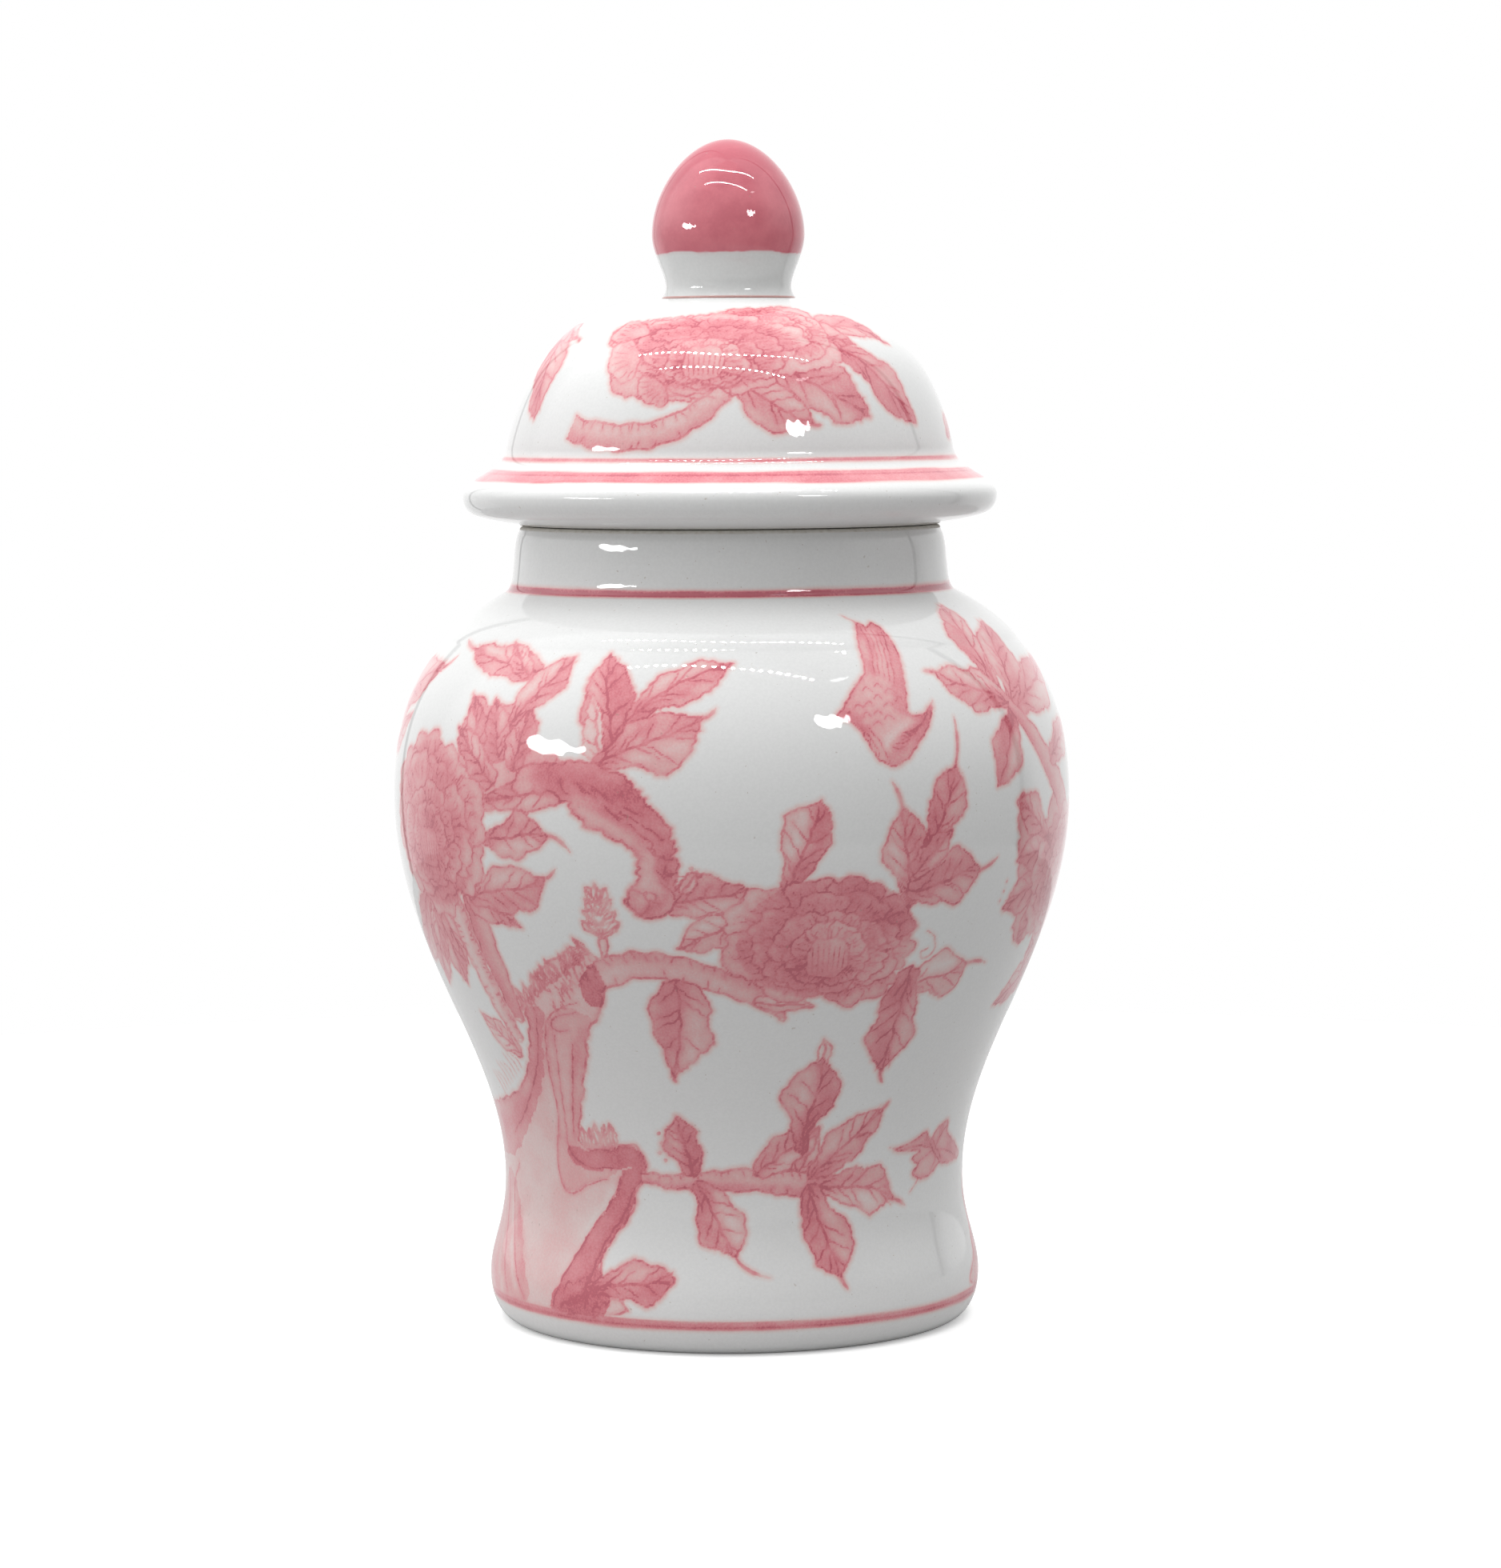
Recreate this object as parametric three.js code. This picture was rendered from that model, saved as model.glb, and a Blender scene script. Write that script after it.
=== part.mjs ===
// A lidded ginger jar in glazed porcelain: a slip-cast jar, its domed lid and the bud-shaped knob
// luted on top of the lid. Each piece is one outline turned about the +Z axis.
// Millimetres, +Z up, origin on the axis at the plane the foot ring stands on.
import * as THREE from "three";

// Driving dimensions. r is a radius about the axis and z a height above the table.
const WALL = 5.5; // thickness of the jar's cast wall
const LID_WALL = 4.6; // thickness of the dome's wall
const KNOB_WALL = 4.5; // thickness of the hollow knob's wall
const JOIN_GAP = 0.3; // left between pieces that touch

const FOOT = { standR: 57, innerR: 48.5, recess: 6.5, r: 63.8, z: 11.6 };
const WAIST = { r: 59.7, z: 37 };
const BELLY = { r: 87.7, z: 137 };
const SHOULDER = { r: 74.2, z: 177 };
const NECK = { footR: 57.8, footZ: 189.4, r: 56, z: 197.5 };
const RIM = { r: 54.6, boreR: 50.6, z: 206 };

const LOCATING_RING = { r: 49.2, innerR: 44.6, z: 197.5 };
const LIP = { r: 69.1, z: 213.6, underR: 66, underZ: 208.8 };
const DOME = { footR: 57.8, footZ: 226, r: 48.4, z: 249, topZ: 264.1 };
const VENT_R = 1.6; // bore through the dome into the hollow knob

const COLLAR = { r: 16.2, z: 267.4, footR: 17.4 };
const KNOB = { r: 19.7, z: 280.5, topZ: 305 };

const FACETS = 48; // flat facets around the jar and the lid
const KNOB_FACETS = 32; // and around the smaller knob
const STEPS = 4; // straight steps along each curve of an outline

const whiteGlaze = { color: 0xe9eceb, roughness: 0.12, metalness: 0 };
const roseGlaze = { color: 0xc96a78, roughness: 0.12, metalness: 0 };

// Adds one smooth curve to an outline: two control points, then the end point.
function curve(path, [r1, z1], [r2, z2], [r3, z3]) {
  path.bezierCurveTo(r1, z1, r2, z2, r3, z3);
}

// The outline's points, moved sideways into the wall by its thickness.
function inset(points, thickness) {
  return points.map((p, i) => {
    const before = points[Math.max(i - 1, 0)];
    const after = points[Math.min(i + 1, points.length - 1)];
    const along = after.clone().sub(before).normalize();
    return new THREE.Vector2(p.x - along.y * thickness, p.y + along.x * thickness);
  });
}

// Turns an outline about the axis. The outside runs upwards and the inside comes back down.
function turned(name, outline, finish, facets = FACETS) {
  const geometry = new THREE.LatheGeometry(outline, facets).rotateX(Math.PI / 2);
  const mesh = new THREE.Mesh(geometry, new THREE.MeshStandardMaterial(finish));
  mesh.name = name;
  return mesh;
}

const point = (r, z) => new THREE.Vector2(r, z);

// The spread foot, from the ring it stands on up to the waist.
function footOutside() {
  const path = new THREE.Path().moveTo(FOOT.standR, 0);
  curve(path, [FOOT.standR + 4.4, 0.4], [FOOT.r, 5.6], [FOOT.r, FOOT.z]);
  curve(path, [FOOT.r, 19.5], [WAIST.r, 25], [WAIST.r, WAIST.z]);
  return path.getPoints(STEPS);
}

// The vessel's wall, from the waist over the belly and shoulder and up the neck to the rim.
function vesselOutside() {
  const path = new THREE.Path().moveTo(WAIST.r, WAIST.z);
  curve(path, [WAIST.r, 71], [BELLY.r, 96], [BELLY.r, BELLY.z]);
  curve(path, [BELLY.r, 156.5], [81.2, 168.5], [SHOULDER.r, SHOULDER.z]);
  curve(path, [70.4, 182.8], [62.4, 187], [NECK.footR, NECK.footZ]);
  curve(path, [56.4, 190.5], [56.4, 194], [NECK.r, NECK.z]);
  curve(path, [55.8, 201], [55.2, 204], [RIM.r, RIM.z - 1.4]);
  return path.getPoints(STEPS);
}

// The hollow inside, from the rim down to the middle of the floor.
function vesselInside() {
  const wall = inset(vesselOutside(), WALL).slice(0, -STEPS).reverse();
  const floorZ = FOOT.recess + WALL;
  const floor = new THREE.Path().moveTo(WAIST.r - WALL, WAIST.z);
  curve(floor, [WAIST.r - WALL, 24], [44, floorZ], [30, floorZ]);
  floor.lineTo(0, floorZ);
  return [point(RIM.boreR, RIM.z), ...wall, ...floor.getPoints(STEPS).slice(1)];
}

function jarBody() {
  const underside = [
    point(0, FOOT.recess),
    point(FOOT.innerR - 3, FOOT.recess),
    point(FOOT.innerR, 0),
  ];
  const rimEdge = point(RIM.r - 1.2, RIM.z);
  const outside = [...footOutside(), ...vesselOutside().slice(1), rimEdge];
  return turned("jar_body", [...underside, ...outside, ...vesselInside()], whiteGlaze);
}

// The dome, from the foot of its wall to the flat that the knob stands on.
function domeOutside() {
  const path = new THREE.Path().moveTo(DOME.footR, DOME.footZ);
  curve(path, [57.3, 229.5], [54.2, 241.4], [DOME.r, DOME.z]);
  curve(path, [42, 257.2], [32, DOME.topZ], [COLLAR.footR, DOME.topZ]);
  return path.getPoints(STEPS);
}

// The locating ring, the seat on the jar's rim, the rolled lip and the flare up to the dome.
function flangeOutside() {
  const seatZ = RIM.z + JOIN_GAP;
  const path = new THREE.Path().moveTo(LOCATING_RING.innerR, LOCATING_RING.z);
  path.lineTo(LOCATING_RING.r - 0.8, LOCATING_RING.z);
  path.lineTo(LOCATING_RING.r, LOCATING_RING.z + 1);
  path.lineTo(LOCATING_RING.r, seatZ);
  path.lineTo(RIM.r, seatZ);
  curve(path, [58, 206.8], [63, 207.6], [LIP.underR, LIP.underZ]);
  curve(path, [67.8, 209.6], [LIP.r, 211.2], [LIP.r, LIP.z]);
  curve(path, [LIP.r, 216], [67.2, 217], [65.6, 218.2]);
  curve(path, [62.8, 220.2], [58.4, 221.6], [DOME.footR, DOME.footZ]);
  return path.getPoints(STEPS);
}

// The hollow under the dome, from the vent down to the inside of the locating ring.
function domeInside() {
  const ceiling = inset(domeOutside(), LID_WALL).reverse();
  const skirt = new THREE.Path().moveTo(ceiling.at(-1).x, ceiling.at(-1).y);
  curve(skirt, [53.2, 217], [LOCATING_RING.innerR, 213], [LOCATING_RING.innerR, 205]);
  return [point(VENT_R, DOME.topZ - LID_WALL), ...ceiling, ...skirt.getPoints(STEPS).slice(1)];
}

function lid() {
  const outside = [...flangeOutside(), ...domeOutside().slice(1), point(VENT_R, DOME.topZ)];
  const inside = domeInside();
  return turned("lid", [...outside, ...inside, outside[0]], whiteGlaze);
}

// The collar and the bud above it, from the foot of the collar to the tip.
function knobOutside(grow) {
  const footZ = DOME.topZ + JOIN_GAP;
  const path = new THREE.Path().moveTo(COLLAR.footR + grow, footZ);
  curve(path, [16.6 + grow, footZ + 0.8], [COLLAR.r + grow, 266], [COLLAR.r + grow, COLLAR.z]);
  curve(path, [COLLAR.r + grow, 270.4], [KNOB.r + grow, 275.8], [KNOB.r + grow, KNOB.z]);
  curve(path, [KNOB.r + grow, 292.5 + grow], [10, KNOB.topZ + grow], [0, KNOB.topZ + grow]);
  return path.getPoints(STEPS);
}

function lidKnob() {
  const hollow = knobOutside(-KNOB_WALL).reverse();
  const outside = knobOutside(0);
  return turned("lid_knob", [...outside, ...hollow, outside[0]], roseGlaze, KNOB_FACETS);
}

const jar = new THREE.Group();
jar.add(jarBody());

const cover = new THREE.Group();
cover.add(lid(), lidKnob());

const gingerJar = new THREE.Group();
gingerJar.add(jar, cover);

export default gingerJar;
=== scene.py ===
"""A porcelain ginger jar: white glaze with a rose garden painted under it, and a rose-glazed knob.

Each CAD piece is replaced by a finely turned one of the same outline. The decoration is painted by brush
functions onto a grid that covers the outside of a piece, in the jar's own units: degrees round its axis,
with 0 at the front (-Y), and millimetres up its wall, measured along the surface from the edge it stands on.
"""
import math

import bpy
import numpy as np
from mathutils import Matrix, Vector


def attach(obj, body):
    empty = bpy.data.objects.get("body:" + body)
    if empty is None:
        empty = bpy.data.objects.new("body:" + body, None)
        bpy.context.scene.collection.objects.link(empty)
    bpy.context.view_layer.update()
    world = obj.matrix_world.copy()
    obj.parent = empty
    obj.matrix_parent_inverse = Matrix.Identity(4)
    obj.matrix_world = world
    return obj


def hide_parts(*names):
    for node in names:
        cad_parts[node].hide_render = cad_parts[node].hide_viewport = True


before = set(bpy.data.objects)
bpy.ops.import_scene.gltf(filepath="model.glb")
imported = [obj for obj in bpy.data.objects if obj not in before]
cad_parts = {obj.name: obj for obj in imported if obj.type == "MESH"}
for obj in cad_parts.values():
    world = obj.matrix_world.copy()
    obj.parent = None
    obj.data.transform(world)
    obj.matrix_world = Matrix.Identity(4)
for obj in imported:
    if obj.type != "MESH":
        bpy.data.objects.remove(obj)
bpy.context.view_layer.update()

MM = 0.001

# ---------------------------------------------------------------- outlines, as radius and height in mm
# They repeat the CAD outlines: a start, then curves of two control points and an end, or one straight end.
WALL, LID_WALL = 5.5, 4.6  # thickness
BODY_OUTSIDE = [
    (57, 0),
    ((61.4, 0.4), (63.8, 5.6), (63.8, 11.6)),
    ((63.8, 19.5), (59.7, 25), (59.7, 37)),
    ((59.7, 71), (87.7, 96), (87.7, 137)),
    ((87.7, 156.5), (81.2, 168.5), (74.2, 177)),
    ((70.4, 182.8), (62.4, 187), (57.8, 189.4)),
    ((56.4, 190.5), (56.4, 194), (56, 197.5)),
    ((55.8, 201), (55.2, 204), (54.6, 204.6)),
    ((54.4, 205.4), (54, 206), (53.2, 206)),
]
LID_OUTSIDE = [
    (54.6, 206.3),
    ((58, 206.8), (63, 207.6), (66, 208.8)),
    ((67.8, 209.6), (69.1, 211.2), (69.1, 213.6)),
    ((69.1, 216), (67.2, 217), (65.6, 218.2)),
    ((62.8, 220.2), (58.4, 221.6), (57.8, 226)),
    ((57.3, 229.5), (54.2, 241.4), (48.4, 249)),
    ((42, 257.2), (32, 264.1), (17.4, 264.1)),
]
LID_RING = [
    (44.6, 198.1),
    ((44.6, 197.7), (44.8, 197.5), (45.2, 197.5)),
    (48.4, 197.5),
    ((48.9, 197.5), (49.2, 197.9), (49.2, 198.5)),
    (49.2, 206.3),
]
KNOB_OUTSIDE = [
    (17.4, 264.15),
    ((16.6, 265.2), (16.2, 266), (16.2, 267.4)),
    ((16.2, 270.4), (19.7, 275.8), (19.7, 280.5)),
    ((19.7, 292.5), (10, 305), (0, 305)),
]
KNOB_HOLLOW = [
    (12.9, 264.3),
    ((12.1, 265.2), (11.7, 266), (11.7, 267.4)),
    ((11.7, 270.4), (15.2, 275.8), (15.2, 280.5)),
    ((15.2, 288), (10, 300.5), (0, 300.5)),
]


def outline(start, *parts, steps=40):
    """The points of a chain of straight and curved parts."""
    points = [np.array([start], float)]
    for part in parts:
        last = points[-1][-1]
        if np.ndim(part) == 1:
            points.append(np.array([part], float))
            continue
        t = np.linspace(0, 1, steps)[1:, None]
        a, b, end = (np.array(p, float) for p in part)
        points.append((1 - t) ** 3 * last + 3 * (1 - t) ** 2 * t * a + 3 * (1 - t) * t**2 * b + t**3 * end)
    return np.vstack(points)


def lengths(points):
    """How far along a path each of its points lies."""
    return np.concatenate([[0], np.cumsum(np.hypot(*np.diff(points, axis=0).T[:2]))])


def resample(points, step):
    """The same path at even steps."""
    along = lengths(points)
    at = np.linspace(0, along[-1], max(2, int(round(along[-1] / step)) + 1))
    return np.column_stack([np.interp(at, along, column) for column in points.T])


def normals(path):
    """The unit vector to the left of a path, at each of its points."""
    along = np.gradient(path, axis=0)
    along /= np.maximum(np.hypot(*along.T), 1e-9)[:, None]
    return np.column_stack([-along[:, 1], along[:, 0]])


def spline(points, per=10, closed=False):
    """A smooth curve through points with any number of columns."""
    p = np.array(points, float)
    if closed:
        p = np.vstack([p[-1], p, p[0], p[1]])
    else:
        p = np.vstack([2 * p[0] - p[1], p, 2 * p[-1] - p[-2]])
    t = np.arange(per)[:, None] / per
    runs = []
    for a, b, c, d in zip(p[:-3], p[1:-2], p[2:-1], p[3:]):
        runs.append(b + 0.5 * t * (c - a + t * (2 * a - 5 * b + 4 * c - d + t * (3 * (b - c) + d - a))))
    if not closed:
        runs.append(p[-2][None])
    return np.vstack(runs)


# ---------------------------------------------------------------- painting
GRID = 0.45  # mm between the rows of a painted skin
BODY_COLUMNS, LID_COLUMNS, KNOB_COLUMNS = 1200, 960, 256  # round the axis
FAR = 2.0    # mm: no line this near
FULL = 0.9   # the most pigment that washes build up to
LINE = 0.58  # mm: a brush line's usual width
HALO = 1.0   # mm: how far a wash bleeds past its outline
POOL = 1.4   # mm: how far inside its outline a wash pools


def distance(x, y, path, closed=False):
    """Distance from each grid point to a path, and how far along it, 0 to 1, the nearest point lies."""
    ends = np.vstack([path[1:], path[:1]]) if closed else path[1:]
    starts = path if closed else path[:-1]
    best, place = np.full(x.shape, 1e9), np.zeros(x.shape)
    for i, ((ax, ay), (bx, by)) in enumerate(zip(starts, ends)):
        ux, uy = bx - ax, by - ay
        t = ((x - ax) * ux + (y - ay) * uy) / max(ux * ux + uy * uy, 1e-9)
        t = np.clip(t, 0, 1)
        d = (x - ax - t * ux) ** 2 + (y - ay - t * uy) ** 2
        nearer = d < best
        best[nearer] = d[nearer]
        place[nearer] = (i + t[nearer]) / len(starts)
    return np.sqrt(best), place


def inside(x, y, shape):
    """Which grid points a closed shape holds."""
    held = np.zeros(x.shape, bool)
    for (ax, ay), (bx, by) in zip(shape, np.vstack([shape[1:], shape[:1]])):
        if ay == by:
            continue
        crosses = (ay > y) != (by > y)
        held ^= crosses & (x < ax + (y - ay) * (bx - ax) / (by - ay))
    return held


class Skin:
    """The outside of a turned piece as a grid, with what the brush has left on it.

    line is the distance to the edge of the nearest drawn line, negative inside one. wash is how much
    pigment the washes hold, from 0, none, to 1, the darkest."""

    def __init__(self, points, columns, step, seed):
        self.outline = resample(points, step)
        self.up = lengths(self.outline)
        self.radius = self.outline[:, 0]
        self.degrees = np.arange(columns) * 360 / columns - 180
        self.line = np.full((len(self.up), columns), FAR)
        self.wash = np.zeros((len(self.up), columns))
        self.turn = 0
        self.rng = np.random.default_rng(seed)

    def radius_at(self, up):
        return np.interp(up, self.up, self.radius)

    def flat(self, path, about):
        """A path of (degrees, up) in true millimetres, measured round the wall from the meridian about."""
        return np.column_stack([np.radians(path[:, 0] - about) * self.radius_at(path[:, 1]), path[:, 1]])

    def round(self, path, about):
        """Back from millimetres to (degrees, up)."""
        return np.column_stack([about + np.degrees(path[:, 0] / self.radius_at(path[:, 1])), path[:, 1]])

    def window(self, path, margin):
        """The part of the grid round a path, as an index, with the grid's and the path's millimetres."""
        about = 0.5 * (path[:, 0].min() + path[:, 0].max())
        rows = np.where((self.up > path[:, 1].min() - margin) & (self.up < path[:, 1].max() + margin))[0]
        if not len(rows):
            rows = np.array([0])
        half = 0.5 * np.ptp(path[:, 0]) + math.degrees(margin / max(self.radius[rows].min(), 5))
        across = (self.degrees - about - self.turn + 180) % 360 - 180
        columns = np.where(np.abs(across) < half)[0]
        x = np.radians(across[columns])[None, :] * self.radius[rows][:, None]
        y = np.repeat(self.up[rows][:, None], len(columns), 1)
        return np.ix_(rows, columns), x, y, self.flat(path, about)

    def stroke(self, path, width=LINE, ends=1.0):
        """A line. ends is how much of its width is left at its two ends."""
        at, x, y, local = self.window(path, FAR)
        d, place = distance(x, y, local)
        body = ends + (1 - ends) * np.sin(np.pi * np.clip(place, 0, 1)) ** 0.5
        self.line[at] = np.minimum(self.line[at], d - 0.5 * width * body)

    def trace(self, shape, width):
        """A line all the way round a closed shape."""
        self.stroke(np.vstack([shape, shape[:1]]), width)

    def fill(self, shape, tone, pooled=0.05, halo=0.5):
        """A wash that covers what a closed shape holds, pooled along its edge and bleeding past it."""
        at, x, y, local = self.window(shape, 3 * HALO)
        d, _ = distance(x, y, local, closed=True)
        held = inside(x, y, local)
        bleed = np.maximum(self.wash[at], halo * tone * np.exp(-((d / HALO) ** 2)))
        self.wash[at] = np.where(held, tone + pooled * np.exp(-d / POOL), bleed)
        self.line[at] = np.where(held, np.minimum(d + LINE, FAR), self.line[at])

    def shade(self, path, width, tone, within=None):
        """A soft stroke of more pigment, kept inside a shape if one is given."""
        at, x, y, local = self.window(path, 2.5 * width)
        d, _ = distance(x, y, local)
        more = tone * np.exp(-((d / width) ** 2))
        if within is not None:
            about = 0.5 * (path[:, 0].min() + path[:, 0].max())
            more *= inside(x, y, self.flat(within, about))
        self.wash[at] += more

    def settle(self):
        """Let the washes saturate, as glaze does, where strokes lie over one another."""
        self.wash = np.maximum(self.wash, 0)
        self.wash /= (1 + (self.wash / FULL) ** 4) ** 0.25

    def dots(self, points, size=0.45):
        """Touches of the brush's tip."""
        for point in points:
            self.stroke(np.array([point, point], float) + [[0, 0], [0.05, 0.05]], size * 2)


def wobble(path, size, pitch, rng):
    """A path made unsteady: smooth wanderings about as long as pitch."""
    along = lengths(path)
    out = path.copy()
    for column in range(2):
        for octave in (1, 0.5):
            phase = rng.uniform(0, 2 * math.pi)
            wave = pitch * octave * rng.uniform(0.8, 1.25)
            out[:, column] += size * octave * np.sin(2 * math.pi * along / wave + phase)
    return out


def frill(path, depth, pitch, rng):
    """An outline whose edge swells in small scallops, out to the left of its direction."""
    path = resample(path, 0.5)
    along = lengths(path)
    lobes = along / pitch + 0.35 * np.sin(along / pitch * 1.7 + rng.uniform(0, 6))
    swell = depth * (np.abs(np.sin(math.pi * lobes)) ** 0.7 - 0.4)
    return path + swell[:, None] * normals(path)


def leaf(skin, base, tip, left, right, tone=0.3, dark=0.24, tail=0, curl=1, bend=0, veins=5,
         full=0.45, lit=0):
    """A leaf from base to tip, with its width to the left and right of the midrib, and a trailing tip.

    full is how far along it is widest. curl turns the trailing tip to the left, or to the right when it is
    negative. lit says which half is left pale, 1 for the left, -1 for the right, 0 for either."""
    rng = skin.rng
    base, tip = np.array(base, float), np.array(tip, float)
    ahead = skin.flat(np.array([base, tip]), base[0])
    run = ahead[1] - ahead[0]
    size = float(np.hypot(*run))
    u = run / size
    n = np.array([-u[1], u[0]])
    sway = 0.03 * size * rng.uniform(-1, 1)
    power = math.log(0.5) / math.log(full)

    def rib(t):
        aside = 4 * bend * size * t * (1 - t) + sway * np.sin(6.3 * t)
        return ahead[0] + np.outer(t, run) + np.outer(aside, n)

    def edge(side, width):
        t = np.linspace(0, 1, 30)
        swell = np.sin(math.pi * t**power) ** (0.7 + 0.4 * t**2)
        swell += 0.24 * np.minimum(t / 0.05, 1) ** 0.5 * np.exp(-((t / 0.13) ** 2))
        phase = rng.uniform(0, 6.3, 2)
        swell *= 1 + 0.13 * np.sin(9 * t + phase[0]) + 0.09 * np.sin(19 * t + phase[1])
        path = rib(t) + np.outer(side * width * swell, n)
        teeth = rng.choice([-1, 1]) * 0.04 * size**0.7
        return frill(path, teeth, size / rng.uniform(6, 10), rng)

    def place(path):
        return skin.round(path, base[0])

    shape = wobble(place(np.vstack([edge(1, left), edge(-1, right)[::-1]])), 0.1, 3.5, rng)
    skin.fill(shape, tone)
    wide = left + right
    side = -lit or (1 if rng.random() < 0.5 else -1)
    t = np.linspace(0.04, 0.94, 14)
    swept = place(rib(t) + side * 0.22 * wide * np.outer(np.sin(math.pi * t), n))
    skin.shade(wobble(swept, 0.4, 9, rng), 0.24 * wide, dark, shape)
    skin.shade(place(rib(t[:5] * 0.8)), 0.3 * wide, 0.6 * dark, shape)
    skin.shade(place(rib(t[3:12]) - side * 0.24 * wide * n), 0.11 * wide, -0.08, shape)
    skin.trace(shape, 0.9 * LINE)
    skin.stroke(wobble(place(rib(np.linspace(0, 0.94, 16))), 0.2, 6, rng), 1.15 * LINE, 0.4)
    for k in range(veins):
        for way, width in ((1, left), (-1, right)):
            if width < 2.2 or rng.random() < 0.06:
                continue
            start = (k + rng.uniform(0.1, 0.7)) / (veins + 0.8)
            reach = np.linspace(0, 1, 8)
            out = rng.uniform(0.6, 0.95) * width * math.sin(math.pi * min(start + 0.16, 1) ** power) ** 0.8
            forward = np.minimum(start + rng.uniform(0.14, 0.24) * reach, 1)
            vein = rib(forward) + np.outer(way * out * reach ** rng.uniform(0.8, 1.5), n)
            skin.stroke(wobble(place(vein), 0.16, 3.5, rng), 0.8 * LINE, 0.35)
    if tail:
        t = np.linspace(0, 1, 12)
        path = ahead[1] + np.outer(tail * t, u) + np.outer(curl * 0.5 * tail * t**2, n)
        skin.shade(place(path[:8]), 0.9, 0.22)
        skin.stroke(place(path), 1.5 * LINE, 0.3)


def polar(angle, far, squash):
    """Points in mm round a flower's centre, squashed up and down."""
    return np.column_stack([np.cos(angle) * far, np.sin(angle) * far * squash])


def petal(skin, centre, about, inner, outer, spread, squash, tone, dark):
    """One lobed petal, fanning out from near the flower's centre. about and spread are in degrees."""
    rng = skin.rng
    u = np.linspace(-1, 1, 31)
    lobes = rng.choice([2, 3, 3.5])
    fan = np.radians(about + spread * np.sign(u) * np.abs(u) ** 0.8)
    swell = 0.08 * np.abs(np.sin(lobes * math.pi * u * 0.5 + rng.uniform(0, 1.5)))
    reach = outer * (0.94 - 0.24 * np.abs(u) ** rng.uniform(2.2, 5) + swell)
    reach[0] = reach[-1] = 0.6 * outer + 0.4 * inner
    root = np.radians(about + 0.5 * spread * np.array([1, 0.4, -0.4, -1]))
    angle = np.concatenate([fan, root])
    far = np.concatenate([reach, np.full(4, inner)])

    def place(path):
        return skin.round(path + [0, centre[1]], centre[0])

    local = spline(polar(angle, far, squash), 3, closed=True)
    shape = wobble(resample(place(local), 0.4), 0.13, 3.5, rng)
    skin.fill(shape, tone, pooled=0.04)
    arc = np.radians(np.linspace(about - 0.6 * spread, about + 0.6 * spread, 6))
    rim = polar(arc, 1, squash)
    skin.shade(place(rim * (0.6 * inner + 0.4 * outer)), 0.3 * (outer - inner), dark, shape)
    skin.shade(place(rim * (0.12 * inner + 0.88 * outer)), 0.12 * (outer - inner), -0.06, shape)
    skin.trace(shape, 0.75 * LINE)
    for k in np.linspace(-0.85, 0.85, int(rng.integers(8, 12))):
        a = math.radians(about + spread * (k + rng.uniform(-0.05, 0.05)))
        start = outer * rng.uniform(0.82, 0.93) * (1 - 0.2 * k**4)
        stop = start - (outer - inner) * rng.uniform(0.15, 0.5)
        far = np.linspace(start, stop, 6)
        lean = a + rng.uniform(-0.07, 0.07) * np.sin(np.linspace(0, 3, 6))
        skin.stroke(place(polar(lean, far, squash)), 0.45 * LINE, 0.3)


PEONY_RINGS = ((1, 0.5, 8), (0.8, 0.38, 8), (0.6, 0.2, 7), (0.42, 0.1, 6))  # outer, inner and petals


def peony(skin, centre, radius, squash, tone, dark, blots):
    """A full flower: rings of petals laid from the outside in, a pale striped heart, and blots of pigment.

    blots are places in the flower, in parts of its radius."""
    rng = skin.rng
    start = np.array(centre, float)
    for ring, (outer, inner, count) in enumerate(PEONY_RINGS):
        middle = start - [0, 0.06 * ring * radius]
        turn = rng.uniform(0, 360)
        for k in rng.permutation(count):
            about = turn + 360 * k / count + rng.uniform(-9, 9)
            size = outer * radius * rng.uniform(0.88, 1.08)
            petal(skin, middle, about, inner * radius, size, 215 / count, squash,
                  tone + rng.uniform(-0.05, 0.05), dark * rng.uniform(0.4, 1.4))
    heart = start - [0, 0.22 * radius * squash]
    for about in (155, 110, 65, 25):
        petal(skin, heart, about, 0.02 * radius, 0.38 * radius, 32, squash + 0.2, tone - 0.05, 0.06)

    def place(path):
        return skin.round(np.asarray(path, float) * radius + [0, heart[1]], heart[0])

    cup = [(-0.18, -0.19), (-0.21, -0.05), (-0.18, 0.1), (-0.11, 0.17), (-0.02, 0.15), (0.06, 0.18),
           (0.16, 0.12), (0.2, -0.02), (0.16, -0.18), (0.02, -0.24)]
    shape = wobble(spline(place(cup), 5, closed=True), 0.15, 4, rng)
    skin.fill(shape, tone - 0.06, pooled=0.05)
    skin.stroke(shape, 0.6 * LINE)
    for x in np.linspace(-0.14, 0.14, 7):
        skin.stroke(place([(x, -0.18), (1.15 * x, rng.uniform(0.0, 0.12))]), 0.5 * LINE, 0.4)
    t = np.linspace(0, 2 * math.pi, 32)[:-1]
    whole = skin.round(polar(t, 0.88 * radius, squash) + [0, start[1]], start[0])
    for x, y in blots:
        at = np.array([x * radius, y * radius * squash + start[1]])
        sweep = np.array([[-0.2, 0.02], [0, 0.04], [0.2, -0.03]]) * radius * rng.uniform(0.7, 1.3)
        skin.shade(skin.round(at + sweep, start[0]), 0.2 * radius, rng.uniform(0.12, 0.2), whole)
    for a, far in zip(rng.uniform(0, 6.3, 6), rng.uniform(0.3, 0.9, 6) * radius):
        skin.dots(skin.round(polar(a, far, squash) + [0, start[1]], start[0]), 0.3)


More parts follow.
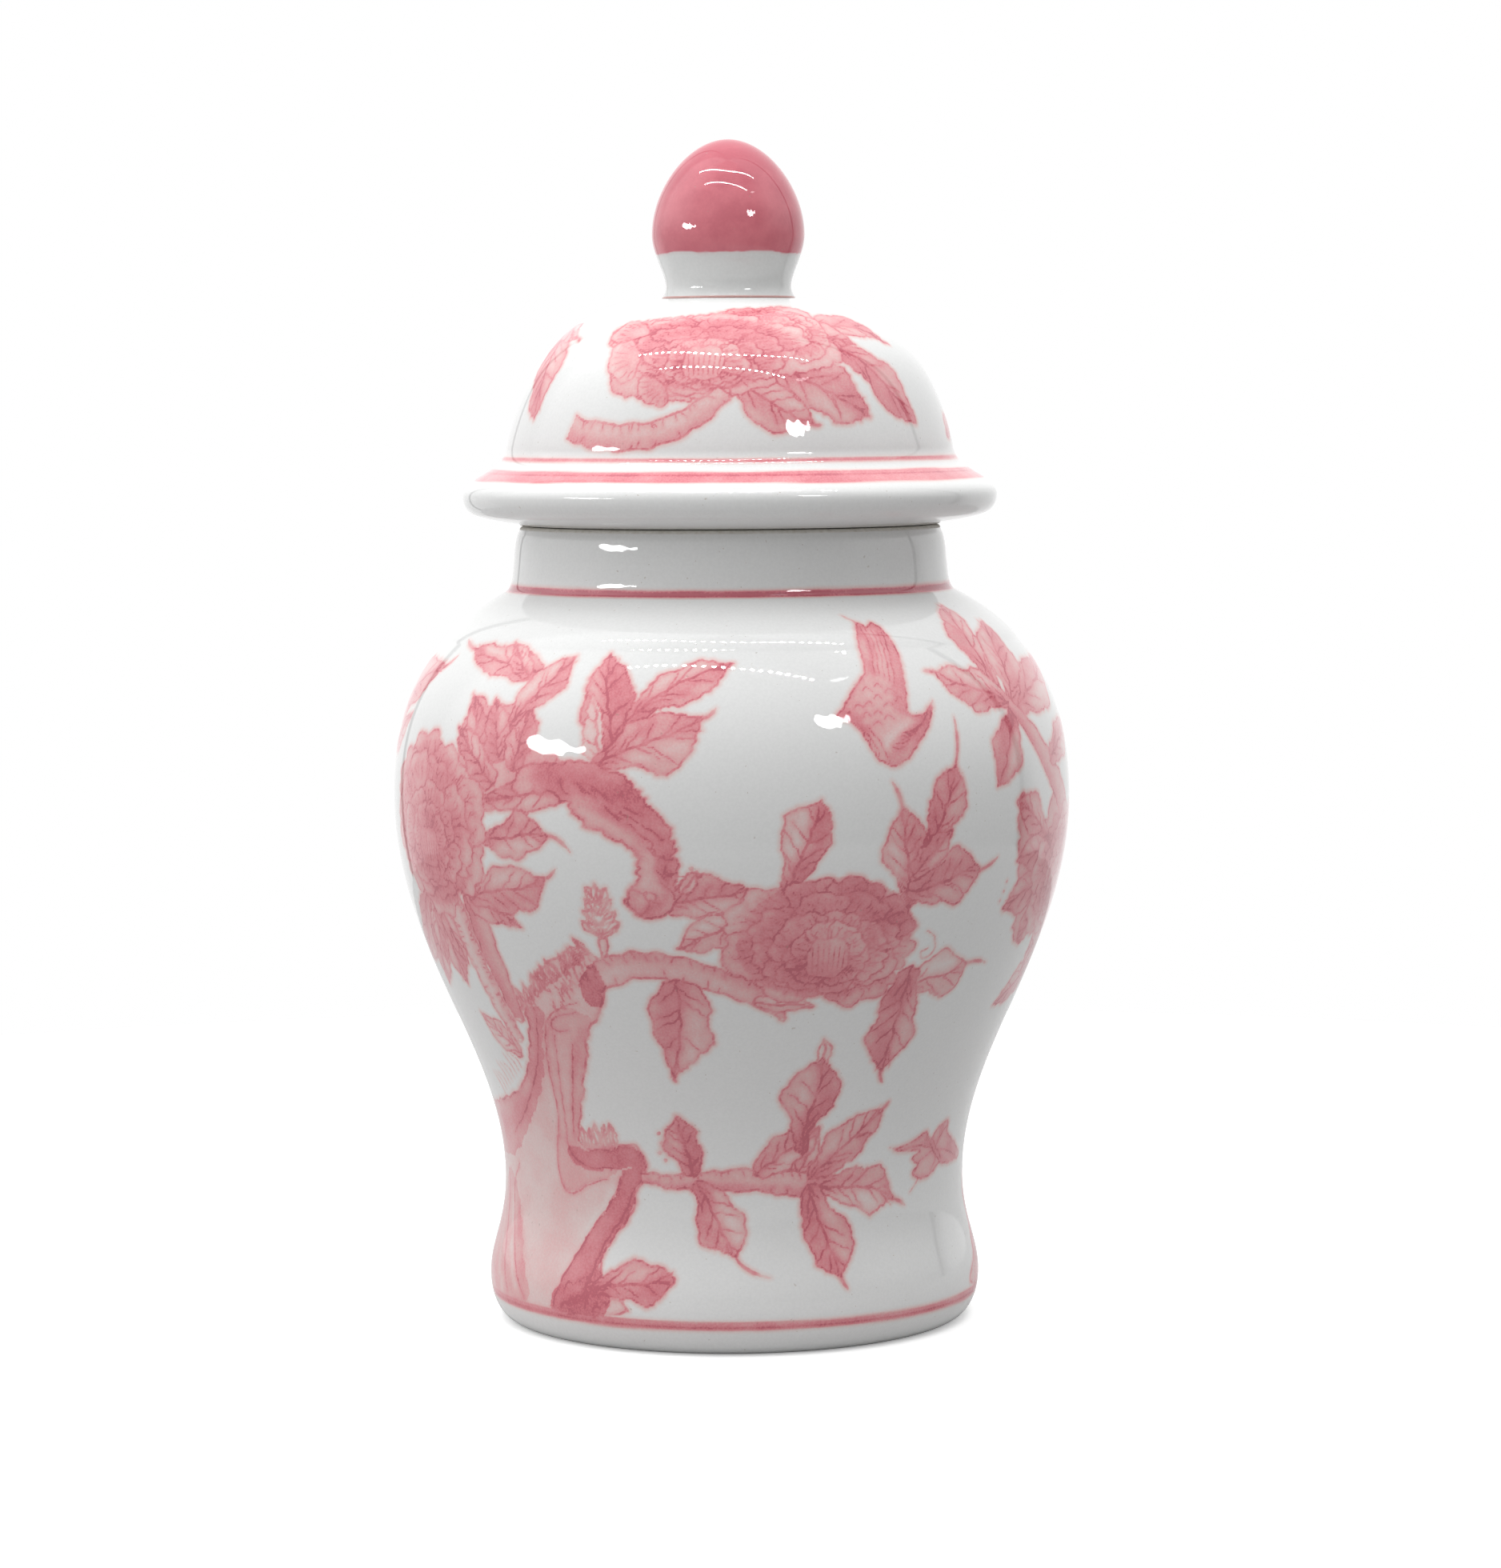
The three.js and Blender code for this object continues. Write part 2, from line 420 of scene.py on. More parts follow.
def branch(skin, stops, tone=0.3, dark=0.24, side=-1, ticks=2.6):
    """A bough through stops of (degrees, up, width in mm), outlined, shaded along one side and ticked."""
    rng = skin.rng
    curve = spline(stops, 8)
    about = curve[0, 0]
    local = resample(np.column_stack([skin.flat(curve[:, :2], about), curve[:, 2]]), 1.0)
    middle, half = local[:, :2], 0.5 * local[:, 2:]
    n = normals(middle)
    along = np.column_stack([n[:, 1], -n[:, 0]])
    left, right = wobble(middle + n * half, 0.28, 9, rng), wobble(middle - n * half, 0.28, 8, rng)

    def place(path):
        return skin.round(path, about)

    shape = place(np.vstack([left, right[::-1]]))
    skin.fill(shape, tone)
    skin.shade(place(middle + side * n * half * 0.6), 0.62 * float(half.mean()), dark, shape)
    end = np.vstack([left[-1], middle[-1] + along[-1] * half[-1] * 0.6, right[-1]])
    for line in (left, right, end):
        skin.stroke(place(line))
    if not ticks:
        return
    every = lengths(local)
    at = ticks
    while at < every[-1] - 1:
        i = int(np.searchsorted(every, at))
        for edge, way, often in ((left, -1, 0.9), (right, 1, 0.45)):
            if rng.random() < often:
                reach = np.linspace(0.1, 1, 5)[:, None] * half[i] * rng.uniform(0.3, 0.75)
                tick = edge[i] + way * n[i] * reach + along[i] * reach * rng.uniform(-0.3, 0.6)
                skin.stroke(place(tick), 0.7 * LINE, 0.4)
        at += ticks * rng.uniform(0.5, 1.4)


def mass(skin, points, tone):
    """A patch where leaves or petals run together, with a lobed edge."""
    shape = wobble(frill(spline(points, 5, closed=True), 0.5, 4.5, skin.rng), 0.3, 5, skin.rng)
    skin.fill(shape, tone)
    skin.trace(shape, 0.8 * LINE)


def sketch(skin, lines, width=LINE):
    """Lines drawn through a few points each."""
    for points in lines:
        skin.stroke(wobble(spline(points, 6), 0.12, 5, skin.rng), width, 0.5)


def washes(skin, shape, strokes):
    """Strokes of more pigment inside a shape, each (width in mm, strength, points)."""
    for width, strength, points in strokes:
        skin.shade(wobble(spline(points, 6), 0.3, 9, skin.rng), width, strength, shape)


def rock(skin):
    """The rock at the left: mossy on top, dark along its edges, pale and ridged within, with a ledge."""
    rng = skin.rng
    right = [(-24.6, 110), (-22, 106.3), (-22.4, 103.4), (-24.2, 99), (-25.8, 93.6), (-28.9, 89),
             (-30.4, 85), (-31.7, 79), (-33.4, 75), (-34.6, 70), (-36.2, 66), (-37.8, 61), (-38.9, 56.4),
             (-36, 54.4), (-31, 55), (-27.6, 56.2), (-23.3, 56.2), (-21.2, 53), (-21.4, 48.4), (-23.6, 45),
             (-25.1, 39), (-28.9, 33.6), (-31.7, 29), (-32.6, 24), (-29.5, 19), (-30.4, 12.5)]
    left = [(-103, 12.5), (-101, 21), (-96.5, 29), (-98, 37), (-93, 45), (-90.5, 54), (-84, 60.5),
            (-76, 62), (-66, 64.5), (-57, 68), (-51, 73.5), (-47, 80.5), (-44.4, 88), (-43, 95),
            (-39, 102), (-34, 107.5), (-29, 111)]
    shape = wobble(resample(spline(right + left, 5, closed=True), 0.8), 0.22, 6, rng)
    skin.fill(shape, 0.25)

    def patch(points, tone):
        part = wobble(resample(spline(points, 5, closed=True), 0.8), 0.3, 6, rng)
        skin.fill(part, tone, pooled=0.03, halo=0.3)

    patch([(-43.6, 94), (-44.6, 88), (-47.2, 80.5), (-51, 73.5), (-57, 68), (-66, 64.4), (-76, 62),
           (-85, 60), (-88, 50), (-73, 48), (-65, 51), (-57, 58), (-49.6, 66.5), (-44.6, 75), (-41.6, 85),
           (-39, 93)], 0.5)
    patch([(-34, 94.5), (-39.6, 88), (-42.6, 76), (-44.2, 62), (-47.4, 51.5), (-46.4, 44), (-43, 42.6),
           (-37, 45.4), (-31, 47.5), (-27, 53.4), (-38.6, 54.6), (-38.6, 60), (-36.2, 66), (-33.4, 75),
           (-31.7, 79), (-29.6, 87), (-28, 92)], 0.36)
    patch([(-22.4, 107.4), (-22.3, 103.6), (-24.2, 99.2), (-25.6, 95.4), (-28.6, 97.4), (-28.4, 102),
           (-26.4, 107)], 0.82)
    patch([(-42.4, 54.4), (-36, 54), (-28, 55.4), (-23.6, 56), (-21.4, 53), (-22, 49.8), (-27, 50.2),
           (-33, 49), (-39, 49), (-42.6, 51.4)], 0.84)
    patch([(-22, 49.6), (-21.4, 48), (-23.8, 44.8), (-25.3, 39), (-29, 33.6), (-31.8, 29), (-32.8, 24),
           (-30, 19), (-31, 12.5), (-46.4, 12.5), (-44, 19.5), (-40, 27.5), (-36, 34.5), (-31.4, 40.5),
           (-28.4, 46), (-27, 50)], 0.96)
    patch(left[:6] + [(-86, 49), (-90, 40), (-91, 30), (-94.5, 22), (-95, 12.5)], 0.5)
    patch([(-76, 44), (-70, 42), (-66, 35.6), (-60.4, 25), (-56, 12.5), (-84, 12.5), (-84, 30)], 0.42)
    washes(skin, shape, [
        (2.6, 0.14, [(-40, 89), (-45, 77), (-51, 68), (-60, 61), (-72, 56)]),
        (1.6, 0.16, [(-31, 88), (-34.6, 78), (-38, 66), (-41, 54)]),
        (2.0, 0.2, [(-22.6, 53), (-24, 47), (-28, 38), (-33, 30)]),
        (2.2, -0.14, [(-38, 31), (-34, 37), (-30, 43)]),
        (3.0, 0.14, [(-36, 26), (-38, 20), (-39, 13)]),
        (2.0, 0.14, [(-66, 34), (-61, 25), (-57.4, 14)]),
        (1.6, -0.16, [(-72, 38), (-68, 28), (-62, 16)]),
        (1.6, -0.12, [(-80, 36), (-76, 26), (-70, 14)]),
    ])
    skin.trace(shape, LINE)
    sketch(skin, [
        [(-30, 96.5), (-35, 94), (-39, 90), (-41.5, 82), (-43, 74), (-44, 63), (-47, 52), (-46.6, 45),
         (-43.4, 42), (-37.3, 45), (-31.6, 47)],
        [(-31, 93.5), (-36.5, 91.5), (-38, 89), (-36, 87.4), (-33.6, 88.6)],
        [(-38, 86.4), (-39.5, 78), (-41, 70), (-42.2, 60), (-42.4, 53.4), (-37, 49.6), (-30, 50)],
        [(-34, 84), (-36, 76), (-38.6, 66), (-40.4, 58)],
        [(-41, 92), (-45, 79), (-51, 69), (-58, 61), (-66, 55)],
        [(-66, 47), (-71, 40), (-68, 30), (-62, 20), (-57, 13)],
        [(-76, 44), (-75, 34), (-71, 24), (-66, 14)],
        [(-88, 50), (-91, 38), (-90, 28), (-94, 20), (-95, 13)],
        [(-82, 47), (-84, 36), (-82, 26), (-85, 14)],
        [(-27.6, 48.4), (-31, 41), (-36, 34.4), (-40, 27), (-44, 19), (-46, 13)],
        [(-24.4, 45), (-27.4, 38), (-32, 31), (-34.6, 23), (-36, 14)],
    ], 0.85 * LINE)
    for _ in range(54):
        up = rng.uniform(95, 110)
        at = (-45 + (up - 92) * 0.95 + rng.uniform(0, 8), up)
        dash = [at, (at[0] + rng.uniform(0.2, 1.0), at[1] + rng.uniform(-2.2, -1.0))]
        skin.stroke(np.array(dash), LINE, 0.5)
    for k in range(17):
        at = np.array([-44 + 1.15 * k, 93 + 1.05 * k + rng.uniform(-0.6, 0.6)])
        lean = rng.uniform(-2.6, 0.8)
        leaf(skin, at, at + [lean, rng.uniform(3.4, 6.4)], 1.0, 1.0, 0.24, 0.1, veins=0)


def trunk(skin):
    """The knotted upper trunk, darkest where it leaves the mass of leaves at its left."""
    rng = skin.rng
    points = [(-36, 157), (-28.9, 158.2), (-24, 158.8), (-19.5, 156.6), (-16.7, 155), (-14.9, 151.7),
              (-12.1, 146.8), (-9.9, 143.4), (-9.3, 139), (-8.8, 134), (-9.3, 130), (-9.4, 125.6),
              (-10.4, 122), (-14.6, 120.6), (-16.5, 122.6), (-17.4, 126), (-15.6, 128.8), (-14.9, 133.4),
              (-15.6, 137.6), (-18.8, 140.4), (-22.3, 142.6), (-25.1, 145.4), (-27.2, 149), (-31, 151.4),
              (-37, 150.6)]
    along = frill(wobble(spline(points, 8, closed=True), 0.25, 5, rng), 0.5, 3.1, rng)
    shape = wobble(along, 0.16, 2.6, rng)
    skin.fill(shape, 0.44)
    washes(skin, shape, [
        (3.8, 0.5, [(-31, 155), (-25, 154), (-20, 151.6), (-16, 147.6)]),
        (2.6, 0.3, [(-17, 152), (-13.6, 146), (-11, 140.6), (-10.2, 133)]),
        (1.8, 0.2, [(-22, 148), (-17.6, 144.4), (-14, 141)]),
        (1.4, -0.12, [(-24, 147), (-20, 143.6), (-16.4, 140)]),
        (1.6, -0.12, [(-13, 136), (-13.6, 130), (-14.6, 125)]),
        (1.4, 0.22, [(-10.4, 132), (-11, 125), (-14, 122)])])
    skin.trace(shape, LINE)
    spine = spline([(-30, 154.6), (-23, 151.4), (-17, 147), (-12.8, 141), (-12, 133), (-13.2, 124)], 12)
    for t in np.linspace(0.05, 0.95, 22):
        at = spine[int(t * (len(spine) - 1))] + rng.uniform(-1.6, 1.6, 2)
        hook = [at, at + rng.uniform(-1.2, 1.2, 2) + [0.8, -1.0], at + [2.2, -2.6] + rng.uniform(-1, 1, 2)]
        sketch(skin, [hook], 0.8 * LINE)
    sketch(skin, [[(-16.9, 127.8), (-14.6, 127), (-13.6, 124), (-15, 121.6), (-17, 123.6), (-16.8, 127)]])


def sprig(skin, foot, pairs=4):
    """An upright sprig of small rounded leaves in pairs."""
    foot = np.array(foot, float)
    branch(skin, [(foot[0], foot[1] - 1, 2.2), (foot[0] + 0.3, foot[1] + 3, 2), (foot[0], foot[1] + 7, 1.6)],
           0.2, 0.1, ticks=1.6)
    for k in range(pairs):
        at = foot + [0.1, 5.0 + 2.9 * k]
        for side in (-1, 1):
            reach = np.array([side * (3.5 - 0.55 * k), 4.2])
            leaf(skin, at, at + reach, 1.2, 1.2, 0.14, 0.06, veins=0, full=0.6)
    leaf(skin, foot + [0.1, 14.5], foot + [-0.3, 19], 1.2, 1.2, 0.14, 0.06, veins=0)


def creature(skin, at, body, per, tone, pooled, strokes, lines):
    """A small creature about a place: its body washed, shaded and outlined, then its lines by width."""
    shape = wobble(spline(np.add(body, at), per, closed=True), 0.12, 3, skin.rng)
    skin.fill(shape, tone, pooled)
    washes(skin, shape, [(width, strength, np.add(points, at)) for width, strength, points in strokes])
    skin.trace(shape, 0.85 * LINE)
    for width, points in lines:
        sketch(skin, [np.add(line, at) for line in points], width * LINE)


def bird(skin, at=(26, 175)):
    """A small bird on the wing, seen from above: beak to the left, one wing up and one out to the right."""
    body = [(1.2, 22), (3, 20.4), (5, 22), (6.6, 18.4), (7.4, 12.5), (6.8, 6), (6, 0), (5.6, -4.6),
            (8, -5.4), (10.8, -3), (9.4, -7.6), (6.6, -12.4), (3.6, -16.6), (1, -17.6), (-1.4, -15.6),
            (-2.6, -12.4), (-4.4, -8), (-6.2, -5.8), (-8, -5.4), (-6.6, -3), (-5.4, -0.6), (-3.2, 3.4),
            (-1.2, 6.4), (-0.6, 11), (-0.4, 15.6)]
    strokes = [
        (2.0, 0.3, [(5.4, 20), (6.2, 12), (5.4, 3), (3.6, -3)]),
        (1.5, 0.22, [(1.4, 20), (1.6, 13), (0.6, 7)]),
        (2.2, 0.34, [(1.4, -15), (4.6, -12), (7.6, -8), (9.6, -4.6)]),
        (1.5, 0.24, [(-6.4, -4.4), (-4.6, -5.6), (-3, -9)]),
        (1.2, -0.12, [(0, -12.6), (3, -9.4), (5, -6.6)]),
    ]
    wing = [[(1.6 + 1.05 * k, 20.4 - 0.5 * k), (1.8 + 0.95 * k, 13.6), (0.8 + 0.9 * k, 6.4 - 0.8 * k)]
            for k in range(5)]
    far_wing = [[(9.6 - 1.5 * k, -5.2 - 2 * k), (6.8 - 1.1 * k, -8.4 - 1.3 * k),
                 (3.6 - 0.5 * k, -9.8 - 0.8 * k)] for k in range(5)]
    tail = [[(0.6, -16.6), (-0.6, -12), (-2.4, -8)], [(-1, -14.8), (-2.2, -11), (-3.8, -8)]]
    down = [[(x, y), (x + 0.9, y + 1), (x + 1.8, y)] for x, y in
            ((-4.6, -3), (-2.6, -2.2), (-3.4, -5.2), (-1.2, -4.6), (-0.6, -0.6), (1.2, -2.6),
             (-1.6, -7.4), (0.8, -6), (-2.4, 1.4), (0, 2.4), (2, 0.8), (3.4, -1.4))]
    tips = [[(1.2, 22), (0.2, 23.6), (-1, 25.2)], [(10.6, -3.2), (11.2, -1.6)]]
    creature(skin, at, body, 5, 0.34, 0.1, strokes, [(0.65, wing + far_wing + tail + down), (1, tips)])
    skin.dots([np.add((-5.6, -4), at)], 0.4)


def butterfly(skin, at=(57, 51)):
    """A butterfly crossing to the right, with ragged wings, a striped body and two feelers."""
    body = [(-15, 2), (-9, 3.6), (-4.4, 5.4), (-2, 3.2), (0.8, 6), (5, 7.2), (6.4, 3.6), (12, 0.4), (18, -4),
            (9, -4.6), (3.6, -4), (0.4, -6), (-4.6, -6.8), (-8, -5), (-6, -3), (-8.6, -1), (-6, 0.8)]
    strokes = [(1.4, 0.3, [(-4, 3.6), (0, 0.6), (5, -2.6)]), (1.3, 0.24, [(8, 0), (14, -3)]),
               (1.2, 0.22, [(3, 5.6), (1, 2)])]
    ribs = [[(0, 0.4), (-6, 2), (-12, 2)], [(0, 0), (-5, -2), (-7, -4.6)], [(1, 0.6), (3, 4), (5, 5.6)],
            [(1.4, 0), (7, -1), (14, -3.4)], [(1, -1), (1.4, -3), (0, -5)], [(-2, 2.4), (1, -1), (4, -3.4)],
            [(-1, 2.8), (2.4, -0.6), (5, -3)]]
    feelers = [[(-14, 2), (-17, 3)], [(-5, -6.6), (-8.6, -9.6)]]
    creature(skin, at, body, 4, 0.38, 0.12, strokes, [(0.8, ribs + feelers)])


def left_flower(skin):
    """The flower seen half round the jar at the left, its long lower petals, and its stem."""
    leaf(skin, (-92, 168), (-67, 181.5), 7, 8, 0.36, 0.24, tail=4)
    leaf(skin, (-84, 158), (-74, 168), 3, 4, 0.3)
    for tip, width in (((-72, 96), 4.6), ((-60.4, 98), 5), ((-80, 102), 5), ((-67, 103), 4),
                       ((-57, 104), 3.6)):
        leaf(skin, (-62, 126), tip, width, width, 0.4, 0.16, full=0.66, veins=4)
    branch(skin, [(-55.4, 122, 8), (-54, 112, 7), (-52.6, 102, 6.4), (-51, 92, 5.6), (-49, 84, 4)],
           0.22, 0.12, 1, 1.1)
    branch(skin, [(-49.5, 124, 7.5), (-48.6, 112, 7), (-47.4, 101, 5.8), (-46.4, 90, 4)], 0.44, 0.2, -1, 0)
    mass(skin, [(-50, 174), (-46, 172), (-43, 172), (-38, 173), (-34.6, 169), (-35, 164), (-31, 161),
                (-27, 157), (-29, 150), (-36, 149), (-43, 146), (-44, 150), (-51, 158), (-51.6, 166)], 0.42)
    for base, tip in (((-44, 154), (-51.5, 175)), ((-42, 152), (-53, 166)), ((-41, 158), (-45, 174)),
                      ((-38, 156), (-36, 173))):
        leaf(skin, base, tip, 4.2, 4.2, 0.42, 0.2, veins=6)
    leaf(skin, (-45, 139), (-30.8, 140.4), 5.4, 5.6, 0.34, 0.24, tail=6, curl=-1.4, full=0.6)
    leaf(skin, (-52, 126), (-38.6, 116.4), 5, 4.5, 0.34, 0.14)
    leaf(skin, (-50, 122.4), (-32, 129.6), 5.6, 6.6, 0.34, 0.18, tail=4, curl=0.8, full=0.6)
    peony(skin, (-60.6, 141), 25, 0.96, 0.44, 0.12,
          ((0.1, 0.6), (-0.2, -0.4), (0.4, 0), (0.3, -0.7), (0, 0)))
    leaf(skin, (-50, 79), (-60, 90), 3.8, 3.8, 0.22, 0.1)
    for k in range(9):
        blade = np.array([-52 - 1.6 * k, 75 - 1.1 * k])
        skin.stroke(spline([blade, blade + [-0.8, 2.4], blade + [-2.6, 3.6 + k % 3]], 5), 0.6 * LINE, 0.3)


def rock_plants(skin):
    """What grows on the rock: a sprig on its top, a tuft on its ledge, and a leaf and moss at its foot."""
    sprig(skin, (-22.6, 110))
    for k in range(7):
        at = np.array([-36.6 + 1.35 * k, 54.6 + 0.1 * k])
        reach = [skin.rng.uniform(-1.4, 0.6), 4.4 + 2.4 * skin.rng.random()]
        leaf(skin, at, at + reach, 1.1, 1.1, 0.1, 0.04, veins=0)
    leaf(skin, (-36, 19), (-13.5, 22.6), 5.8, 5.0, 0.42, 0.24, full=0.66)
    for k in range(14):
        at = np.array([-43 + 1.0 * k + skin.rng.uniform(-0.4, 0.4), 13 + (k * 5) % 9])
        sketch(skin, [[at, at + [1.2, 1.8], at + [2.6, 1.4]]], 0.8 * LINE)


def upper_trunk(skin):
    """The upper trunk with its leaves, and the link to the middle peony."""
    leaf(skin, (-36, 181), (-59.5, 187.4), 4.6, 5.2, 0.34, 0.24, tail=6, curl=-0.4, full=0.5)
    leaf(skin, (-39, 180), (-47, 190), 3.2, 3.2, 0.34, 0.2)
    leaf(skin, (-40, 167), (-30, 186.4), 5.4, 4.6, 0.32, 0.2, full=0.6, lit=1)
    leaf(skin, (-27, 152), (-44.5, 148.6), 4.6, 4.2, 0.38, 0.2)
    leaf(skin, (-19.6, 158), (-22.8, 187.6), 6.6, 7.2, 0.46, 0.36, full=0.52, lit=1)
    leaf(skin, (-21, 158), (-24.4, 176), 4.0, 1.6, 0.16, 0.05, veins=4)
    leaf(skin, (-18, 168), (0.6, 184.6), 4.8, 5.8, 0.34, 0.26, bend=0.08, full=0.6)
    leaf(skin, (-23, 157.6), (-4.3, 170), 6.2, 8.2, 0.33, 0.2, tail=3.5, curl=0.8, veins=6, full=0.62)
    leaf(skin, (-11, 123.6), (3, 128), 5.4, 4.8, 0.32, 0.2, full=0.5)
    leaf(skin, (-8, 127), (-5.4, 132.4), 1.8, 1.8, 0.28, 0.1, veins=0)
    leaf(skin, (2.5, 120.6), (-9.2, 112.4), 4.6, 4.8, 0.28, 0.16, veins=4)
    trunk(skin)
    skin.dots([(-8.8, 131.6), (-6.4, 133.2), (-5, 131.4)], 0.55)


def middle_branch(skin):
    """The middle branch and its peony."""
    branch(skin, [(-24, 104.6, 8), (-17, 107.8, 7), (-9, 106.7, 7), (-2, 103.5, 6.5), (4, 99.8, 6),
                  (8, 96.4, 5), (9.6, 92.4, 1.5)], 0.28, 0.16, 1)
    leaf(skin, (4, 97.6), (15.5, 96), 2.4, 1.8, 0.26, 0.08, veins=0)
    leaf(skin, (-10, 104), (-12.3, 76), 8.2, 7.2, 0.36, 0.2, tail=1.5, bend=0.05, veins=5, full=0.42)
    leaf(skin, (9, 125), (14.6, 149.6), 7.2, 5.6, 0.22, 0.42, full=0.66, lit=1)
    leaf(skin, (31, 122), (28.6, 147), 6, 6.6, 0.34, 0.2, tail=7, curl=0.5, full=0.6, veins=6)
    leaf(skin, (33, 130), (39.6, 156.6), 5.6, 5.6, 0.42, 0.26, tail=12, curl=0.45, full=0.66)
    leaf(skin, (30, 126), (45.6, 130), 7, 6.4, 0.36, 0.18, tail=7, curl=0.5, full=0.6)
    leaf(skin, (31, 130), (38.6, 141), 3.8, 3.4, 0.4, 0.2, veins=2)
    leaf(skin, (31, 99), (47.5, 104.8), 6.4, 6, 0.2, 0.16, tail=8, curl=-0.7, full=0.66)
    leaf(skin, (34, 106), (33, 75.5), 6.2, 7.6, 0.42, 0.26, tail=3, full=0.56)
    sketch(skin, [[(35.5, 115), (37.6, 113.4), (38, 109.6), (36, 107.6), (35.2, 109.6), (36.6, 110.4)]])
    peony(skin, (17, 114.4), 26.5, 0.7, 0.42, 0.12,
          ((-0.45, 0.5), (0.1, 0.72), (0.5, 0.62), (0.8, 0.3), (-0.65, -0.15), (-0.3, -0.5), (0.05, -0.7)))


def lower_branch(skin):
    """The lower branch, out of the rock's ledge."""
    leaf(skin, (15, 48), (20, 61.5), 5, 3, 0.3, 0.1, veins=2)
    leaf(skin, (14, 46), (26, 50), 3, 4, 0.3, 0.1, veins=2)
    branch(skin, [(-22.5, 48, 2.4), (-14, 47.3, 3.6), (-5, 47.5, 5), (3, 48, 5.6), (11, 47.3, 6.2),
                  (17, 46, 6.4), (22, 45.4, 4)], 0.3, 0.2)
    leaf(skin, (-9.4, 48.6), (-12.7, 65), 5, 4, 0.4, 0.3, full=0.55, veins=4, lit=1)
    skin.dots([(-17.2, 60), (-16.8, 57.4), (-17.4, 54.8), (-16, 52.8)], 0.5)
    leaf(skin, (-9, 47.5), (0.5, 28.6), 6.6, 5.4, 0.25, 0.28, tail=9, curl=1.2, full=0.6)
    leaf(skin, (5, 49.4), (20.4, 61.5), 5.2, 4.4, 0.3, 0.2, full=0.55, veins=4)
    leaf(skin, (19.2, 79), (18.4, 86.4), 1.8, 2.0, 0.12, 0.04, veins=0)
    leaf(skin, (16.6, 54), (18.8, 81), 8, 5.6, 0.32, 0.42, veins=5, full=0.66, lit=1)
    leaf(skin, (18, 47.4), (36.4, 65.4), 5.4, 4.8, 0.32, 0.2, tail=2, curl=0.4, veins=6, full=0.55)
    leaf(skin, (19, 46), (42.5, 40.3), 6.3, 5.9, 0.25, 0.18, tail=4.5, curl=-0.5, bend=0.06, full=0.62)
    leaf(skin, (18, 46.6), (25.4, 22.2), 6.6, 5.8, 0.38, 0.24, tail=3.5, curl=0.4, full=0.6)


def right_plant(skin):
    """The plant at the right, and its flower seen half round the jar."""
    mass(skin, [(55, 146), (58, 147), (62, 142), (66, 140), (68, 146), (77, 143), (83, 129), (80, 108),
                (75, 103), (72, 108), (68, 115), (65, 108.6), (61, 110), (58.6, 117), (55, 119), (57, 126),
                (56.4, 132)], 0.4)
    leaf(skin, (55, 172), (57.4, 203), 6.2, 5.2, 0.36, 0.2, bend=0.08, full=0.66)
    leaf(skin, (58, 169), (86, 182), 7, 7, 0.38, 0.2, full=0.5)
    leaf(skin, (57, 169), (66.6, 195.5), 6.6, 8.4, 0.38, 0.2, full=0.6)
    leaf(skin, (58, 170), (39.6, 180.8), 6, 6.4, 0.33, 0.2, tail=3, curl=0.5, full=0.6)
    leaf(skin, (58.4, 171), (49.4, 150.6), 5.6, 5.4, 0.4, 0.4, veins=0, full=0.62)
    branch(skin, [(57, 171, 3), (62, 163, 5), (68, 153, 7), (73, 146, 8), (77, 138, 9)], 0.4, 0.2, ticks=0)
    leaf(skin, (68, 155), (86, 165), 4.5, 4.5, 0.38)
    leaf(skin, (82, 102), (63.5, 90.6), 5.4, 5.4, 0.38)
    leaf(skin, (76, 118), (73, 98), 5, 5, 0.42)
    leaf(skin, (70, 122), (63, 108.4), 4.6, 5, 0.4, full=0.66)
    leaf(skin, (72, 128), (54, 119), 5, 5, 0.42, 0.16, full=0.66)
    leaf(skin, (72, 134), (55.6, 131), 4.4, 4.4, 0.42, 0.16, full=0.6)
    peony(skin, (76, 126), 20, 0.95, 0.43, 0.12, ((-0.4, 0.3), (-0.3, -0.4), (0.2, 0.5)))
    leaf(skin, (69, 134), (55, 146.4), 4.6, 4.6, 0.38, 0.2, full=0.7)
    skin.dots([(53.4, 126), (53, 123.4), (52.4, 121)], 0.4)


def garden(skin):
    """The whole composition on the jar, from the flower at its left to the plant at its right."""
    for part in (left_flower, rock, rock_plants, upper_trunk, middle_branch, lower_branch, butterfly, bird,
                 right_plant):
        part(skin)


